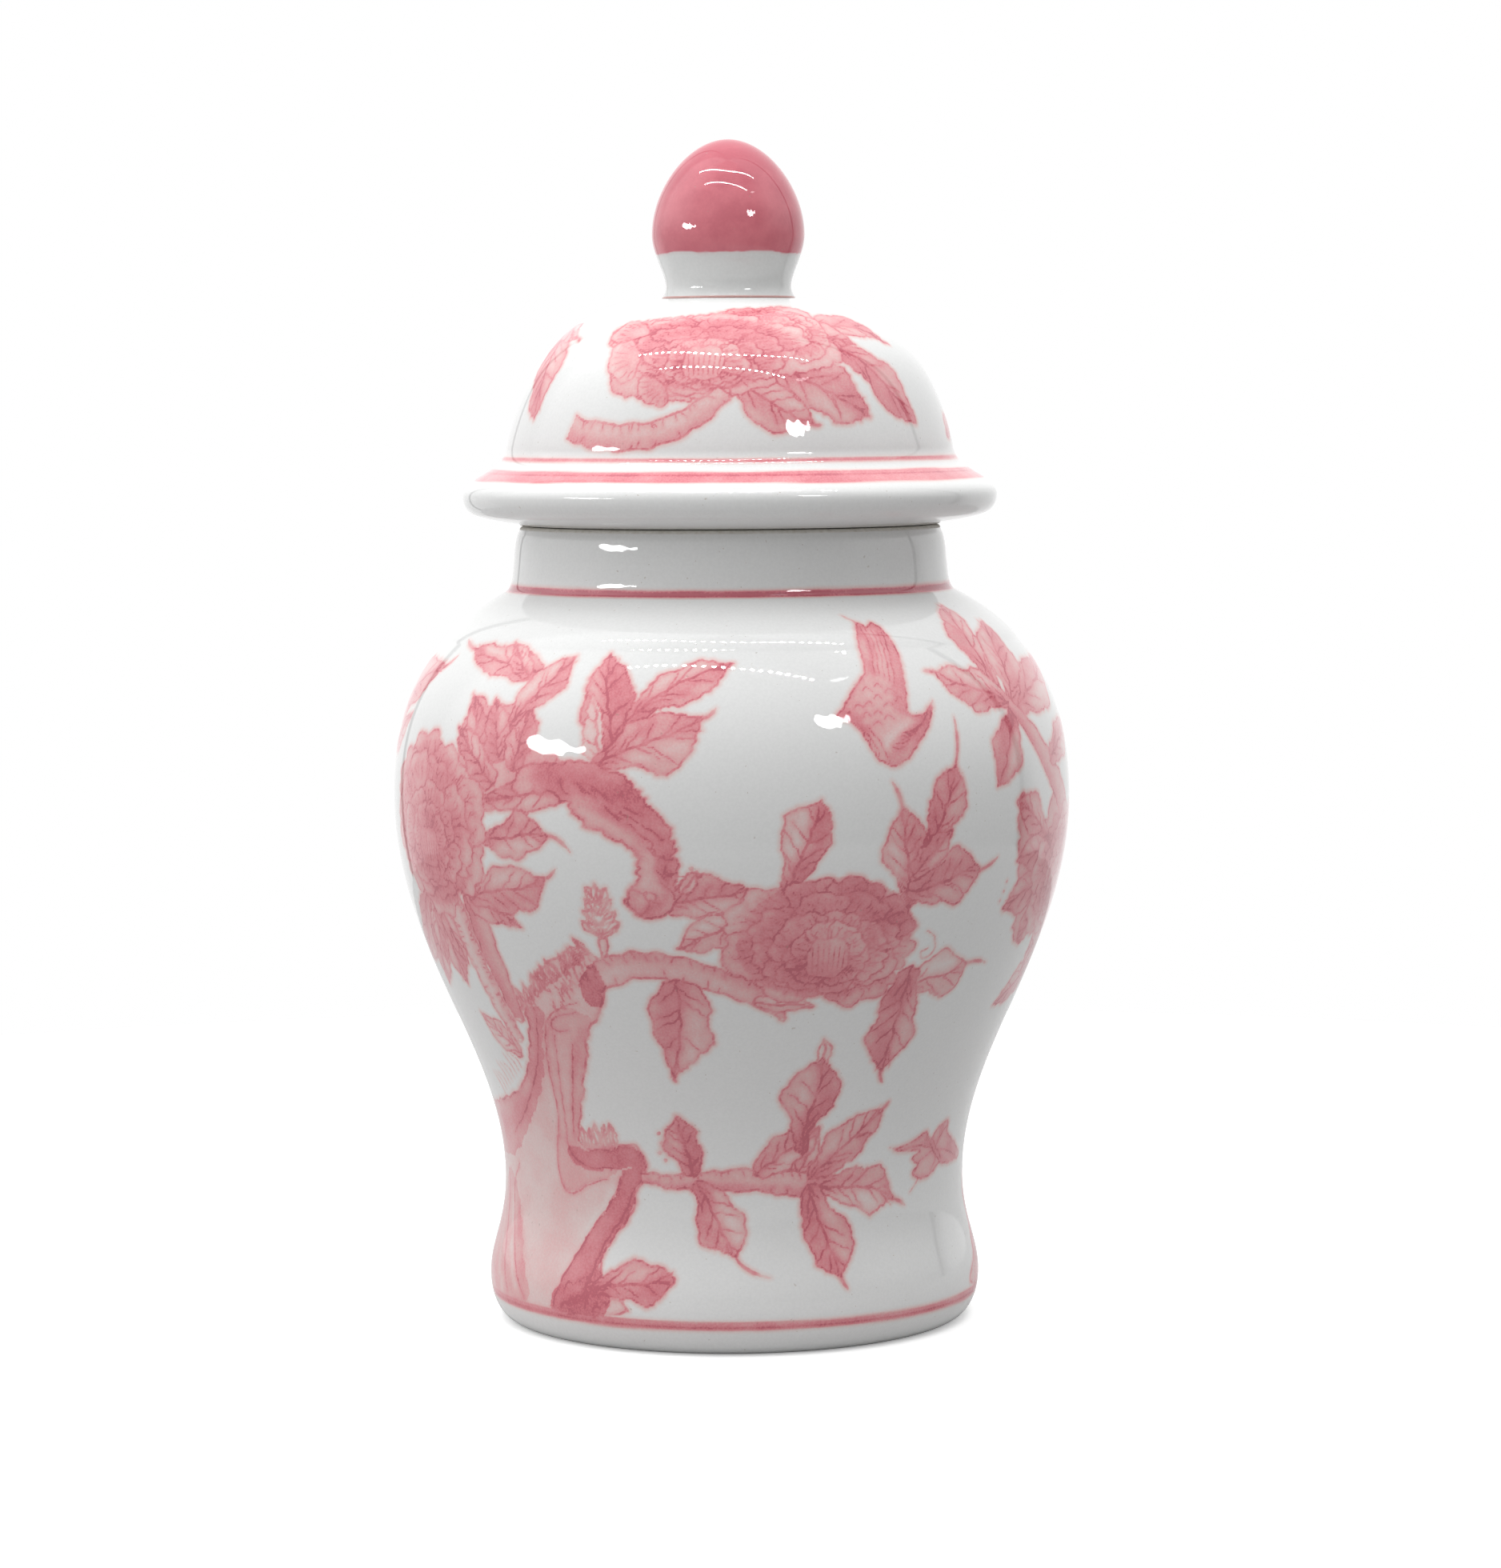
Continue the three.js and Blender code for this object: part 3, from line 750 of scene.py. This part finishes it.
def lid_garden(skin):
    """The lid's composition: a wide peony with leaves to its right and its stem curling away to the left."""
    leaf(skin, (-2, 54), (22, 41.5), 6.5, 6, 0.32, 0.18, tail=2, veins=6, full=0.55)
    leaf(skin, (8, 60), (39.4, 43.4), 8, 7, 0.38, 0.22, veins=6, full=0.6)
    leaf(skin, (26, 65), (57, 41.6), 5.4, 5.2, 0.42, 0.26, bend=0.08, full=0.62, lit=1)
    leaf(skin, (24, 68), (60, 65), 5, 3.4, 0.36, 0.2, bend=0.16, tail=3, curl=-0.5)
    leaf(skin, (18, 70), (44, 64), 5, 4, 0.36, 0.2)
    mass(skin, [(-43, 69), (-34, 73), (-22, 75), (-8, 76.5), (4, 78), (14, 80), (26, 81), (34, 77), (33, 68),
                (36, 60), (24, 56), (10, 54), (0, 49), (-12, 48), (-24, 49), (-33, 51), (-36, 60)], 0.34)
    for about in (60, 25, -25, -60):
        petal(skin, (20, 68), about, 3, 11.5, 34, 0.9, 0.36, 0.14)
    peony(skin, (12, 70), 14, 0.72, 0.35, 0.12, ((-0.3, 0.5), (0.3, 0.6)))
    peony(skin, (-7, 62.5), 25.5, 0.54, 0.34, 0.14,
          ((-0.75, 0.2), (-0.3, 0.5), (0.3, 0.6), (0.2, -0.6), (-0.4, -0.3), (0.7, 0)))
    petal(skin, (-25, 61), 195, 2, 11, 60, 0.9, 0.3, 0.14)
    petal(skin, (-25, 68), 165, 2, 13, 45, 0.6, 0.34, 0.14)
    petal(skin, (-16, 53), 215, 2, 9, 55, 0.8, 0.38, 0.1)
    branch(skin, [(-44, 41, 5.8), (-37, 39.2, 6.6), (-26, 38.4, 6.6), (-16, 40.2, 6.6), (-8, 44.4, 6.4),
                  (-1, 50, 5)], 0.26, 0.18, -1, 2.4)
    leaf(skin, (-86, 72), (-62, 43), 6.5, 6, 0.4, 0.28, bend=0.1, full=0.66)
    leaf(skin, (-84, 72), (-60, 67), 2.4, 3.5, 0.26, 0.14, tail=3, curl=-0.6)
    leaf(skin, (84, 43), (76, 38), 2.6, 2.6, 0.44, 0.2, veins=0)


def bands(skin, lines):
    """Painted lines right round, each (how far up the wall, width, strength, core).

    core is how far above its middle a line is darkest."""
    turn = np.radians(skin.degrees)[None, :]
    for up, width, strength, core in lines:
        phase = skin.rng.uniform(0, 6, 4)
        drift = 0.14 * np.sin(turn + phase[0]) + 0.06 * np.sin(5 * turn + phase[1])
        full = 0.5 * width * (1 + 0.08 * np.sin(3 * turn + phase[2]) + 0.05 * np.sin(11 * turn + phase[3]))
        away = skin.up[:, None] - up - drift
        held = np.clip((full - np.abs(away)) / 0.35 + 0.5, 0, 1)
        heart = np.exp(-(((away - core) / 0.38) ** 2))
        halo = 0.3 * strength * np.exp(-((np.maximum(np.abs(away) - full, 0) / 0.6) ** 2))
        skin.wash = np.maximum(skin.wash, np.maximum(held * (strength + 0.3 * heart), halo))
        skin.line = np.where(np.abs(away) < full + 0.2, np.maximum(skin.line, 0.6), skin.line)


def painted_body():
    skin = Skin(outline(*BODY_OUTSIDE), BODY_COLUMNS, GRID, seed=11)
    for skin.turn in (0, 180):
        garden(skin)
    skin.settle()
    bands(skin, [(11.2, 2.3, 0.6, -0.3), (210.2, 1.9, 0.98, 0)])
    return skin


def painted_lid():
    skin = Skin(outline(*LID_OUTSIDE), LID_COLUMNS, GRID, seed=5)
    for skin.turn in (0, 180):
        lid_garden(skin)
    skin.settle()
    bands(skin, [(26.0, 5.0, 0.68, 0.9), (32.5, 1.2, 0.42, 0.1)])
    return skin


# ---------------------------------------------------------------- meshes
SEAM_AT = 0.8  # how much of a piece's flat map its outside takes up


def lathe(name, section, columns, bare, seam, skin=None, painted_from=0):
    """A closed turned mesh from a section in mm, which starts and ends on the axis or closes on itself.

    bare says how unglazed each row is, seam which row the outside ends at. A skin's rows lie on the
    section's rows from painted_from on."""
    total = len(section)
    turn = np.radians(np.arange(columns) * 360 / columns - 180)
    radius, height = section.T[:, :, None]
    points = np.stack([radius * np.sin(turn), -radius * np.cos(turn), height + 0 * turn], -1)
    line, wash = np.full((total, columns), FAR), np.zeros((total, columns))
    if skin:
        painted = slice(painted_from, painted_from + len(skin.up))
        line[painted], wash[painted] = skin.line, skin.wash
    clay = np.repeat(bare[:, None], columns, 1)

    # On the axis a row is one point: its columns share a vertex, which comes after all the others.
    on_axis = section[0, 0] == 0
    number = np.arange((total - 2 * on_axis) * columns).reshape(-1, columns)
    if on_axis:
        number = np.vstack([np.full(columns, number.size), number, np.full(columns, number.size + 1)])
    else:
        number = np.vstack([number, number[:1]])

    def by_vertex(grid):
        """The grid's values in the order of the vertices."""
        if not on_axis:
            return grid.reshape(-1, *grid.shape[2:])
        return np.concatenate([grid[1:-1].reshape(-1, *grid.shape[2:]), grid[[0, -1], 0]])

    # Each face's corners, and their places on the flat map: the outside below SEAM_AT, the inside above it.
    beyond = np.roll(number, -1, 1)
    corners = np.stack([number[:-1], beyond[:-1], beyond[1:], number[1:]], -1)
    left = np.arange(columns) / columns
    right = np.arange(1, columns + 1) / columns
    row = np.arange(len(number))
    inner = np.interp(row, (seam, total), (SEAM_AT + 0.01, 1))
    up = np.where(row <= seam, SEAM_AT * row / seam, inner)
    flat_map = np.empty((*corners.shape, 2))
    flat_map[..., 0] = np.stack([left, right, right, left], -1)
    flat_map[..., 1] = np.stack([up[:-1], up[:-1], up[1:], up[1:]], -1)[:, None]
    kept = np.ones(corners.shape, bool)
    if on_axis:  # the faces round the two poles are triangles
        kept[0, :, 1] = kept[-1, :, 3] = False
        flat_map[0, :, 0, 0] = flat_map[-1, :, 2, 0] = left + 0.5 / columns
    sizes = kept.sum(-1).ravel()

    mesh = bpy.data.meshes.new(name)
    places = by_vertex(points)
    mesh.vertices.add(len(places))
    mesh.vertices.foreach_set("co", (places * MM).ravel())
    mesh.loops.add(sizes.sum())
    mesh.loops.foreach_set("vertex_index", corners[kept])
    mesh.polygons.add(len(sizes))
    mesh.polygons.foreach_set("loop_start", np.cumsum(sizes) - sizes)
    mesh.update(calc_edges=True)
    mesh.shade_smooth()
    for label, grid in (("line", line), ("wash", wash), ("bare", clay)):
        layer = mesh.attributes.new(label, "FLOAT", "POINT")
        layer.data.foreach_set("value", by_vertex(grid).astype(np.float32))
    layer = mesh.uv_layers.new(name="OFBake")
    layer.data.foreach_set("uv", flat_map[kept].astype(np.float32).ravel())
    piece = bpy.data.objects.new(name, mesh)
    bpy.context.collection.objects.link(piece)
    return piece


def jar_body():
    """The vessel: painted outside, glazed inside, with bare clay where it stands and at its mouth."""
    skin = painted_body()
    outside = skin.outline
    waist, neck, floor_up, rim = 37, 197.6, 12, 206
    wall = outline(*BODY_OUTSIDE)
    wall = wall[(wall[:, 1] >= waist) & (wall[:, 1] <= neck)]
    inner = resample((wall + WALL * normals(wall))[::-1], 2.4)
    underside = resample(outline((0, 6.5), (45.5, 6.5), ((47, 6), (48.2, 3), (48.5, 0.3))), 1.6)
    mouth = resample(outline((52.6, rim), ((51.4, 205.8), (50.6, 205), (50.6, 204))), 0.5)
    bowl = outline(tuple(inner[-1]), ((54.2, 24), (44, floor_up), (30, floor_up)), (0, floor_up))
    section = np.vstack([underside, [(49.2, 0)], outside, mouth, inner, resample(bowl, 1.8)[1:]])
    section[-1, 0] = 0
    start = len(underside) + 1
    row, height = np.arange(len(section)), section[:, 1]
    bare = np.where((row <= start + 2) & (height < 3), 1 - height / 3, 0)
    bare[(row > start + len(outside) - 5) & (height > rim - 0.8)] = 1
    piece = lathe("jar_body_painted", section, BODY_COLUMNS, bare, start + len(outside), skin, start)
    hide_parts("jar_body")
    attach(piece, "jar")
    return piece


def lid():
    """The domed cover: painted outside, with its locating ring and the seat that rests on the mouth."""
    skin = painted_lid()
    outside = skin.outline
    ring = resample(outline(*LID_RING), 0.8)
    seat = resample(outline((49.9, 206.3), (54.2, 206.3)), 0.8)
    dome = outline(*LID_OUTSIDE)
    dome = dome[dome[:, 1] >= 226]
    ceiling = resample((dome + LID_WALL * normals(dome))[::-1], 2.4)
    throat = outline(tuple(ceiling[-1]), ((53.2, 217), (44.6, 213), (44.6, 205)), (44.6, 198.6))
    top = resample(outline((16.5, 264.1), (1.9, 264.1)), 1.5)
    vent = resample(outline((1.6, 264.1), (1.6, 259.6)), 0.9)
    section = np.vstack([ring, seat, outside, top, vent, [(2.2, 259.5)], ceiling, resample(throat, 1.8)[1:]])
    start = len(ring) + len(seat)
    bare = np.zeros(len(section))
    bare[:start + 3] = np.clip((section[:start + 3, 1] - 205.2) / 0.8, 0, 1)  # where it rests
    bare[section[:, 1] < 198.4] = 1
    piece = lathe("lid_painted", section, LID_COLUMNS, bare, start + len(outside), skin, start)
    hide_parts("lid")
    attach(piece, "cover")
    return piece


def lid_knob():
    """The hollow acorn knob, from the top of its hollow down to its open foot and up its outside."""
    hollow = resample(outline(*KNOB_HOLLOW), 1.5)[::-1]
    outside = resample(outline(*KNOB_OUTSIDE), 0.5)
    section = np.vstack([hollow, [(13.4, 264.15), (16.6, 264.15)], outside])
    section[0, 0] = section[-1, 0] = 0
    bare = np.zeros(len(section))
    piece = lathe("lid_knob_glazed", section, KNOB_COLUMNS, bare, len(section) - 1)
    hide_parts("lid_knob")
    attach(piece, "cover")
    return piece


# ---------------------------------------------------------------- materials
# Colours are linear. PIGMENT and BISQUE are stops of a colour ramp: a place on it, and the colour there.
WHITE = (0.80, 0.805, 0.80)
PIGMENT = [(0.0, WHITE), (0.15, (0.80, 0.66, 0.64)), (0.35, (0.79, 0.46, 0.46)), (0.6, (0.76, 0.29, 0.32)),
           (0.85, (0.68, 0.19, 0.23)), (1.0, (0.56, 0.13, 0.17))]
BISQUE = [(0.3, (0.62, 0.59, 0.54)), (0.5, (0.72, 0.70, 0.66)), (0.7, (0.78, 0.76, 0.73))]
IRON_SPECK = (0.42, 0.33, 0.27)
# The collar's white glaze is set grey, darker than WHITE, as painted shade on its downward face; its lip and
# foot are rose lines
COLLAR_GLAZE_WITH_PAINTED_SHADE, COLLAR_LIP, COLLAR_FOOT = (0.68, 0.685, 0.68), (0.70, 0.30, 0.32), (0.60, 0.25, 0.22)
GLAZE_IOR = 1.5


class Nodes:
    """A short way to build a node tree."""

    def __init__(self, tree):
        self.tree = tree

    def add(self, kind, inputs=(), **settings):
        node = self.tree.nodes.new(kind)
        for key, value in settings.items():
            setattr(node, key, value)
        self.feed(node, inputs)
        return node

    def feed(self, node, inputs):
        """Link a node's inputs to other nodes' outputs, or set their values."""
        for key, value in dict(inputs).items():
            if isinstance(value, bpy.types.NodeSocket):
                self.tree.links.new(value, node.inputs[key])
            else:
                node.inputs[key].default_value = value

    def maths(self, operation, a, b=0.0, clamp=False):
        return self.add("ShaderNodeMath", {0: a, 1: b}, operation=operation, use_clamp=clamp).outputs[0]

    def plus(self, a, b, clamp=False):
        return self.maths("ADD", a, b, clamp)

    def times(self, a, b):
        return self.maths("MULTIPLY", a, b)

    def ramp(self, value, low, high, at_low=0.0, at_high=1.0, kind="SMOOTHSTEP"):
        node = self.add("ShaderNodeMapRange", {"Value": value, "From Min": low, "From Max": high,
                                               "To Min": at_low, "To Max": at_high}, interpolation_type=kind)
        return node.outputs["Result"]

    def place(self):
        return self.add("ShaderNodeTexCoord").outputs["Object"]

    def noise(self, size, detail=3.0, rough=0.5):
        """Noise with features about size mm across, from 0 to 1."""
        return self.add("ShaderNodeTexNoise", {"Vector": self.place(), "Scale": 1 / (size * MM),
                                               "Detail": detail, "Roughness": rough}).outputs["Fac"]

    def mottle(self, size, detail, low, high):
        """Noise spread between two values."""
        return self.ramp(self.noise(size, detail), 0.3, 0.7, low, high)

    def attribute(self, name):
        return self.add("ShaderNodeAttribute", attribute_name=name).outputs["Fac"]

    def grey(self, value):
        return self.add("ShaderNodeCombineColor", {0: value, 1: value, 2: value}).outputs[0]

    def colours(self, value, stops):
        node = self.add("ShaderNodeValToRGB", {"Fac": value})
        elements = node.color_ramp.elements
        while len(elements) < len(stops):
            elements.new(0.5)
        for element, (at, colour) in zip(elements, stops):
            element.position = at
            element.color = (*colour, 1)
        return node.outputs["Color"]

    def mix(self, share, a, b, blend="MIX"):
        a, b = (c if isinstance(c, bpy.types.NodeSocket) else (*c, 1) for c in (a, b))
        return self.add("ShaderNodeMix", {"Factor": share, "A": a, "B": b}, data_type="RGBA",
                        blend_type=blend).outputs["Result"]


def new_material(name):
    material = bpy.data.materials.new(name)
    material.use_nodes = True
    return material, Nodes(material.node_tree), material.node_tree.nodes["Principled BSDF"]


def glaze_surface(nodes, shader, colour, clay):
    """Clear glaze over colour: glossy, a little wavy, with pinholes, and dry where clay is bare."""
    grain = nodes.grey(nodes.mottle(0.7, 2, 0.965, 1.0))
    speck = nodes.ramp(nodes.noise(1.1, 1), 0.765, 0.79)
    colour = nodes.mix(nodes.times(speck, 0.35), colour, IRON_SPECK)
    colour = nodes.mix(1.0, colour, grain, "MULTIPLY")
    dry = nodes.ramp(nodes.plus(clay, nodes.times(nodes.noise(2.0), 0.5)), 0.68, 0.76)
    bisque = nodes.colours(nodes.noise(1.5, 5, 0.65), BISQUE)
    gloss = nodes.ramp(nodes.noise(9, 4), 0.35, 0.7, 0.012, 0.04)
    wave, peel = nodes.times(nodes.noise(22, 0), 0.05), nodes.times(nodes.noise(3.5, 1), 0.002)
    pores, pits = nodes.times(nodes.times(nodes.noise(0.5, 3), dry), 0.12), nodes.times(speck, -0.03)
    height = nodes.plus(nodes.plus(wave, peel), nodes.plus(pores, pits))
    bump = nodes.add("ShaderNodeBump", {"Height": height, "Strength": 1.0, "Distance": MM})
    nodes.feed(shader, {"Base Color": nodes.mix(dry, colour, bisque),
                        "Roughness": nodes.plus(gloss, nodes.times(dry, 0.8)),
                        "Normal": bump.outputs["Normal"], "IOR": GLAZE_IOR})


def painted_glaze():
    """Rose pigment under clear glaze, darker where the washes pool and along the brush lines."""
    material, nodes, shader = new_material("painted_glaze")
    line, wash = nodes.attribute("line"), nodes.attribute("wash")
    washed = nodes.times(nodes.times(wash, nodes.mottle(9, 3, 0.82, 1.16)), nodes.mottle(0.55, 2, 0.88, 1.1))
    ragged = nodes.plus(line, nodes.mottle(0.8, 2, -0.09, 0.09))
    load = nodes.ramp(nodes.noise(4, 3), 0.32, 0.68, 0.12, 0.44)
    ink = nodes.times(nodes.ramp(ragged, -0.16, 0.2, 1, 0), load)
    bleed = nodes.times(nodes.ramp(line, 0, 1.3, 1, 0), 0.09)
    density = nodes.plus(nodes.plus(washed, ink), bleed, clamp=True)
    glaze_surface(nodes, shader, nodes.colours(density, PIGMENT), nodes.attribute("bare"))
    return material


def knob_glaze():
    """Rose glaze over the acorn down to an uneven edge, with the white collar, greyed as painted shade,
    showing under it.
    """
    material, nodes, shader = new_material("rose_glaze")
    height = nodes.add("ShaderNodeSeparateXYZ", {"Vector": nodes.place()}).outputs["Z"]
    height = nodes.maths("DIVIDE", height, MM)
    uneven = nodes.plus(height, nodes.mottle(7, 2, -0.35, 0.35))
    thick = nodes.plus(nodes.ramp(uneven, 275.6, 280, 0.93, 0.9), nodes.ramp(height, 286, 303, 0, 0.12))
    rose = nodes.colours(nodes.plus(thick, nodes.mottle(6, 4, -0.05, 0.05)), PIGMENT)
    lip = nodes.times(nodes.ramp(uneven, 274.5, 275.5), 0.16)
    foot = nodes.times(nodes.ramp(height, 264.55, 264.8, 1, 0), 0.75)
    # Under the rose glaze: the collar's white glaze greyed as painted shade, with its rose lip and its foot
    # line
    pale = nodes.mix(foot, nodes.mix(lip, COLLAR_GLAZE_WITH_PAINTED_SHADE, COLLAR_LIP), COLLAR_FOOT)
    dipped = nodes.ramp(uneven, 275.3, 275.9)
    glaze_surface(nodes, shader, nodes.mix(dipped, pale, rose), nodes.attribute("bare"))
    return material


# ---------------------------------------------------------------- studio
# The jar stands in a light tent. Azimuths are in degrees round it from the camera, + to the right.
FRONT_LOW, FRONT_HIGH = 0.465, 0.95  # brightness of the tent's front, at the horizon and overhead
BACK = 1.12                          # and of its back
LEFT = 1.5                           # times as bright at the front's far left, and 2 - LEFT at its far right
SIDE_GLOSS, SIDE_SHARE = 0.8, 0.16   # what its sides add in reflections, and how much of it lights the jar
SEAMS = ((-150, 0.35), (115, 0.05))  # where its cloth is sewn: the azimuth, and the share of light left
OVERHEAD, OVERHEAD_SIZE = 20, 1.6    # W, m
LAMP_ROWS = ((27, ((-0.44, 0.0), (-0.02, -0.2), (0.43, -0.145))),  # how many lamps, and their line in m
             (21, ((-0.42, -0.29), (-0.04, -0.4), (0.375, -0.453))))
ROW_UP, DOT, DOT_GLOW = 0.95, 0.010, 115  # of those lamps: m up, radius in m, brightness
PANELS = (("left_lamp", -61, 17, 0.36, 0.11, 22),  # azimuth, elevation, width and height in m, brightness
          ("right_lamp", 37.5, 31.5, 0.18, 0.12, 22),
          ("high_lamp", 52, 50.5, 0.10, 0.03, 7))
PANEL_AWAY, SHOULDER_UP = 0.9, 0.16       # m from the middle of the jar's shoulder, and its height
PANEL_EDGE = [(-0.5, 0.02), (-0.44, 0.3), (-0.34, 0.08), (-0.2, 0.2), (-0.04, 0.42), (0.1, 0.3),
              (0.22, 0.34), (0.36, 0.5), (0.5, 0.2), (0.46, -0.16), (0.34, -0.36), (0.16, -0.5),
              (0, -0.4), (-0.14, -0.46), (-0.24, -0.14), (-0.4, -0.2)]  # in parts of width and height
FLOOR = 0.62                            # m: its radius
FLOOR_WHITE, FLOOR_GLOW = 0.98, 0.3     # as the camera sees it
FLOOR_GLOSS = 0.35                      # how much of this white reflections show
FLOOR_BOUNCE, FOOT_BOUNCE = 0.32, 0.60  # its white to rays that light the jar, and to those near the foot
CAMERA_AT, TILT, ROLL = (0.0049, -1.250, 0.240), 4.64, -0.34  # m, degrees down, degrees
LENS, SENSOR = 115.7, 36                # mm


def glow(name, strength):
    material = bpy.data.materials.new(name)
    material.use_nodes = True
    material.node_tree.nodes.clear()
    nodes = Nodes(material.node_tree)
    light = nodes.add("ShaderNodeEmission", {"Color": (1, 1, 1, 1), "Strength": strength})
    nodes.add("ShaderNodeOutputMaterial", {"Surface": light.outputs[0]})
    return material


def stand(name, points, faces, material):
    """A piece of the stage."""
    mesh = bpy.data.meshes.new(name)
    mesh.from_pydata([tuple(p) for p in points], [], faces)
    mesh.update()
    thing = bpy.data.objects.new(name, mesh)
    bpy.context.collection.objects.link(thing)
    mesh.materials.append(material)
    return thing


def circle(x, y, z, radius, count):
    """Points round a level circle."""
    return [(x + radius * math.cos(a), y + radius * math.sin(a), z)
            for a in np.linspace(0, 2 * math.pi, count + 1)[:-1]]


def only_in_reflections(thing):
    thing.visible_camera = thing.visible_diffuse = thing.visible_shadow = False


def lamp_rows():
    """Two rows of small lamps above the jar, seen only as rows of dots in its glaze."""
    points, faces = [], []
    for count, row in LAMP_ROWS:
        path = resample(spline(row, 30), 0.002)
        for x, y in path[np.linspace(0, len(path) - 1, count).astype(int)]:
            dot = circle(x, y, ROW_UP, DOT, 8)
            faces.append(list(range(len(points), len(points) + len(dot))))
            points += dot
    only_in_reflections(stand("lamp_rows", points, faces, glow("lamp_dot", DOT_GLOW)))


def panel(name, azimuth, elevation, width, height, strength):
    """A lamp that faces the jar, with a ragged edge like a lit bulb in its shade."""
    a, e = math.radians(azimuth), math.radians(elevation)
    ahead = Vector((math.sin(a) * math.cos(e), -math.cos(a) * math.cos(e), math.sin(e)))
    centre = Vector((0, 0, SHOULDER_UP)) + ahead * PANEL_AWAY
    side = ahead.cross(Vector((0, 0, 1))).normalized()
    up = side.cross(ahead)
    edge = spline(PANEL_EDGE, 4, closed=True)
    points = [centre + side * (width * x) + up * (height * y) for x, y in edge]
    only_in_reflections(stand(name, points, [list(range(len(edge)))], glow(name, strength)))


def floor():
    """A white disc, much darker to the rays that light the jar, so that it doesn't glow from below."""
    material, nodes, shader = new_material("pale_floor")
    path = nodes.add("ShaderNodeLightPath")
    seen = path.outputs["Is Camera Ray"]
    shown = nodes.maths("MAXIMUM", seen, nodes.times(path.outputs["Is Glossy Ray"], FLOOR_GLOSS))
    away = nodes.add("ShaderNodeVectorMath", {0: nodes.place()}, operation="LENGTH").outputs["Value"]
    bounce = nodes.ramp(away, 0.07, 0.15, FOOT_BOUNCE, FLOOR_BOUNCE)
    white = nodes.ramp(shown, 0, 1, bounce, FLOOR_WHITE, "LINEAR")
    white = nodes.times(nodes.mottle(40, 3, 0.98, 1.0), white)
    nodes.feed(shader, {"Base Color": nodes.grey(white), "Roughness": 0.9, "Specular IOR Level": 0.0,
                        "Emission Color": (1, 1, 1, 1), "Emission Strength": nodes.times(seen, FLOOR_GLOW)})
    rim = circle(0, 0, 0, FLOOR, 96)
    stand("floor", rim, [list(range(len(rim)))], material)


def tent():
    """The light tent, as the world: bright behind, dimmer in front, where it is open, with two seams."""
    world = bpy.data.worlds.new("tent")
    bpy.context.scene.world = world
    world.use_nodes = True
    world.node_tree.nodes.clear()
    nodes = Nodes(world.node_tree)
    path = nodes.add("ShaderNodeLightPath")
    seen, mirrored = path.outputs["Is Camera Ray"], path.outputs["Is Glossy Ray"]
    ahead = nodes.add("ShaderNodeTexCoord").outputs["Generated"]
    split = nodes.add("ShaderNodeSeparateXYZ", {"Vector": ahead})
    right, toward, up = split.outputs["X"], nodes.times(split.outputs["Y"], -1.0), split.outputs["Z"]
    round_about = nodes.maths("ARCTAN2", right, toward)
    flat = nodes.maths("SQRT", nodes.maths("SUBTRACT", 1.0, nodes.times(up, up)))
    front = nodes.ramp(nodes.maths("DIVIDE", toward, nodes.maths("MAXIMUM", flat, 0.02)), -0.6, -0.45)
    rise = nodes.times(nodes.ramp(up, 0.0, 0.9, FRONT_LOW, FRONT_HIGH),
                       nodes.ramp(right, -1, 1, LEFT, 2 - LEFT, "LINEAR"))
    aside = nodes.maths("ABSOLUTE", round_about)
    aside = nodes.ramp(aside, math.radians(45), math.radians(85), 0, SIDE_GLOSS)
    aside = nodes.times(aside, nodes.ramp(up, -0.05, 0.3, 0.3, 1))
    rise = nodes.plus(rise, nodes.times(nodes.maths("MAXIMUM", mirrored, SIDE_SHARE), aside))
    wall = nodes.plus(nodes.times(front, rise), nodes.times(nodes.maths("SUBTRACT", 1.0, front), BACK))
    for seam, left in SEAMS:
        gap = nodes.maths("ABSOLUTE", nodes.maths("SUBTRACT", round_about, math.radians(seam)))
        wall = nodes.times(wall, nodes.ramp(gap, 0.014, 0.04, left, 1))
    plain = nodes.add("ShaderNodeBackground", {"Strength": 1.0, "Color": (1, 1, 1, 1)})
    lit = nodes.add("ShaderNodeBackground", {"Strength": wall, "Color": (1, 1, 1, 1)})
    both = nodes.add("ShaderNodeMixShader", {0: seen, 1: lit.outputs[0], 2: plain.outputs[0]})
    nodes.add("ShaderNodeOutputWorld", {"Surface": both.outputs[0]})


def overhead():
    """A wide soft lamp above the jar."""
    lamp = bpy.data.lights.new("overhead", "AREA")
    lamp.shape, lamp.size, lamp.energy = "SQUARE", OVERHEAD_SIZE, OVERHEAD
    thing = bpy.data.objects.new("overhead", lamp)
    thing.location = (0, -0.1, 1.7)
    thing.visible_camera = thing.visible_glossy = False
    bpy.context.collection.objects.link(thing)


def camera():
    """The photograph's viewpoint: level with the lid, looking a little down."""
    lens = bpy.data.cameras.new("camera")
    lens.lens, lens.sensor_width, lens.sensor_fit = LENS, SENSOR, "HORIZONTAL"
    lens.clip_start, lens.clip_end = 0.05, 50
    view = bpy.data.objects.new("camera", lens)
    view.location = CAMERA_AT
    aim = Matrix.Rotation(math.radians(90 - TILT), 4, "X") @ Matrix.Rotation(math.radians(ROLL), 4, "Z")
    view.rotation_euler = aim.to_euler()
    bpy.context.collection.objects.link(view)
    bpy.context.scene.camera = view


# ---------------------------------------------------------------- the scene
glazed = painted_glaze()
rosy = knob_glaze()
for piece, finish in ((jar_body(), glazed), (lid(), glazed), (lid_knob(), rosy)):
    piece.data.materials.append(finish)
floor()
tent()
overhead()
lamp_rows()
for row in PANELS:
    panel(*row)
camera()
bpy.context.scene.view_settings.view_transform = "Standard"
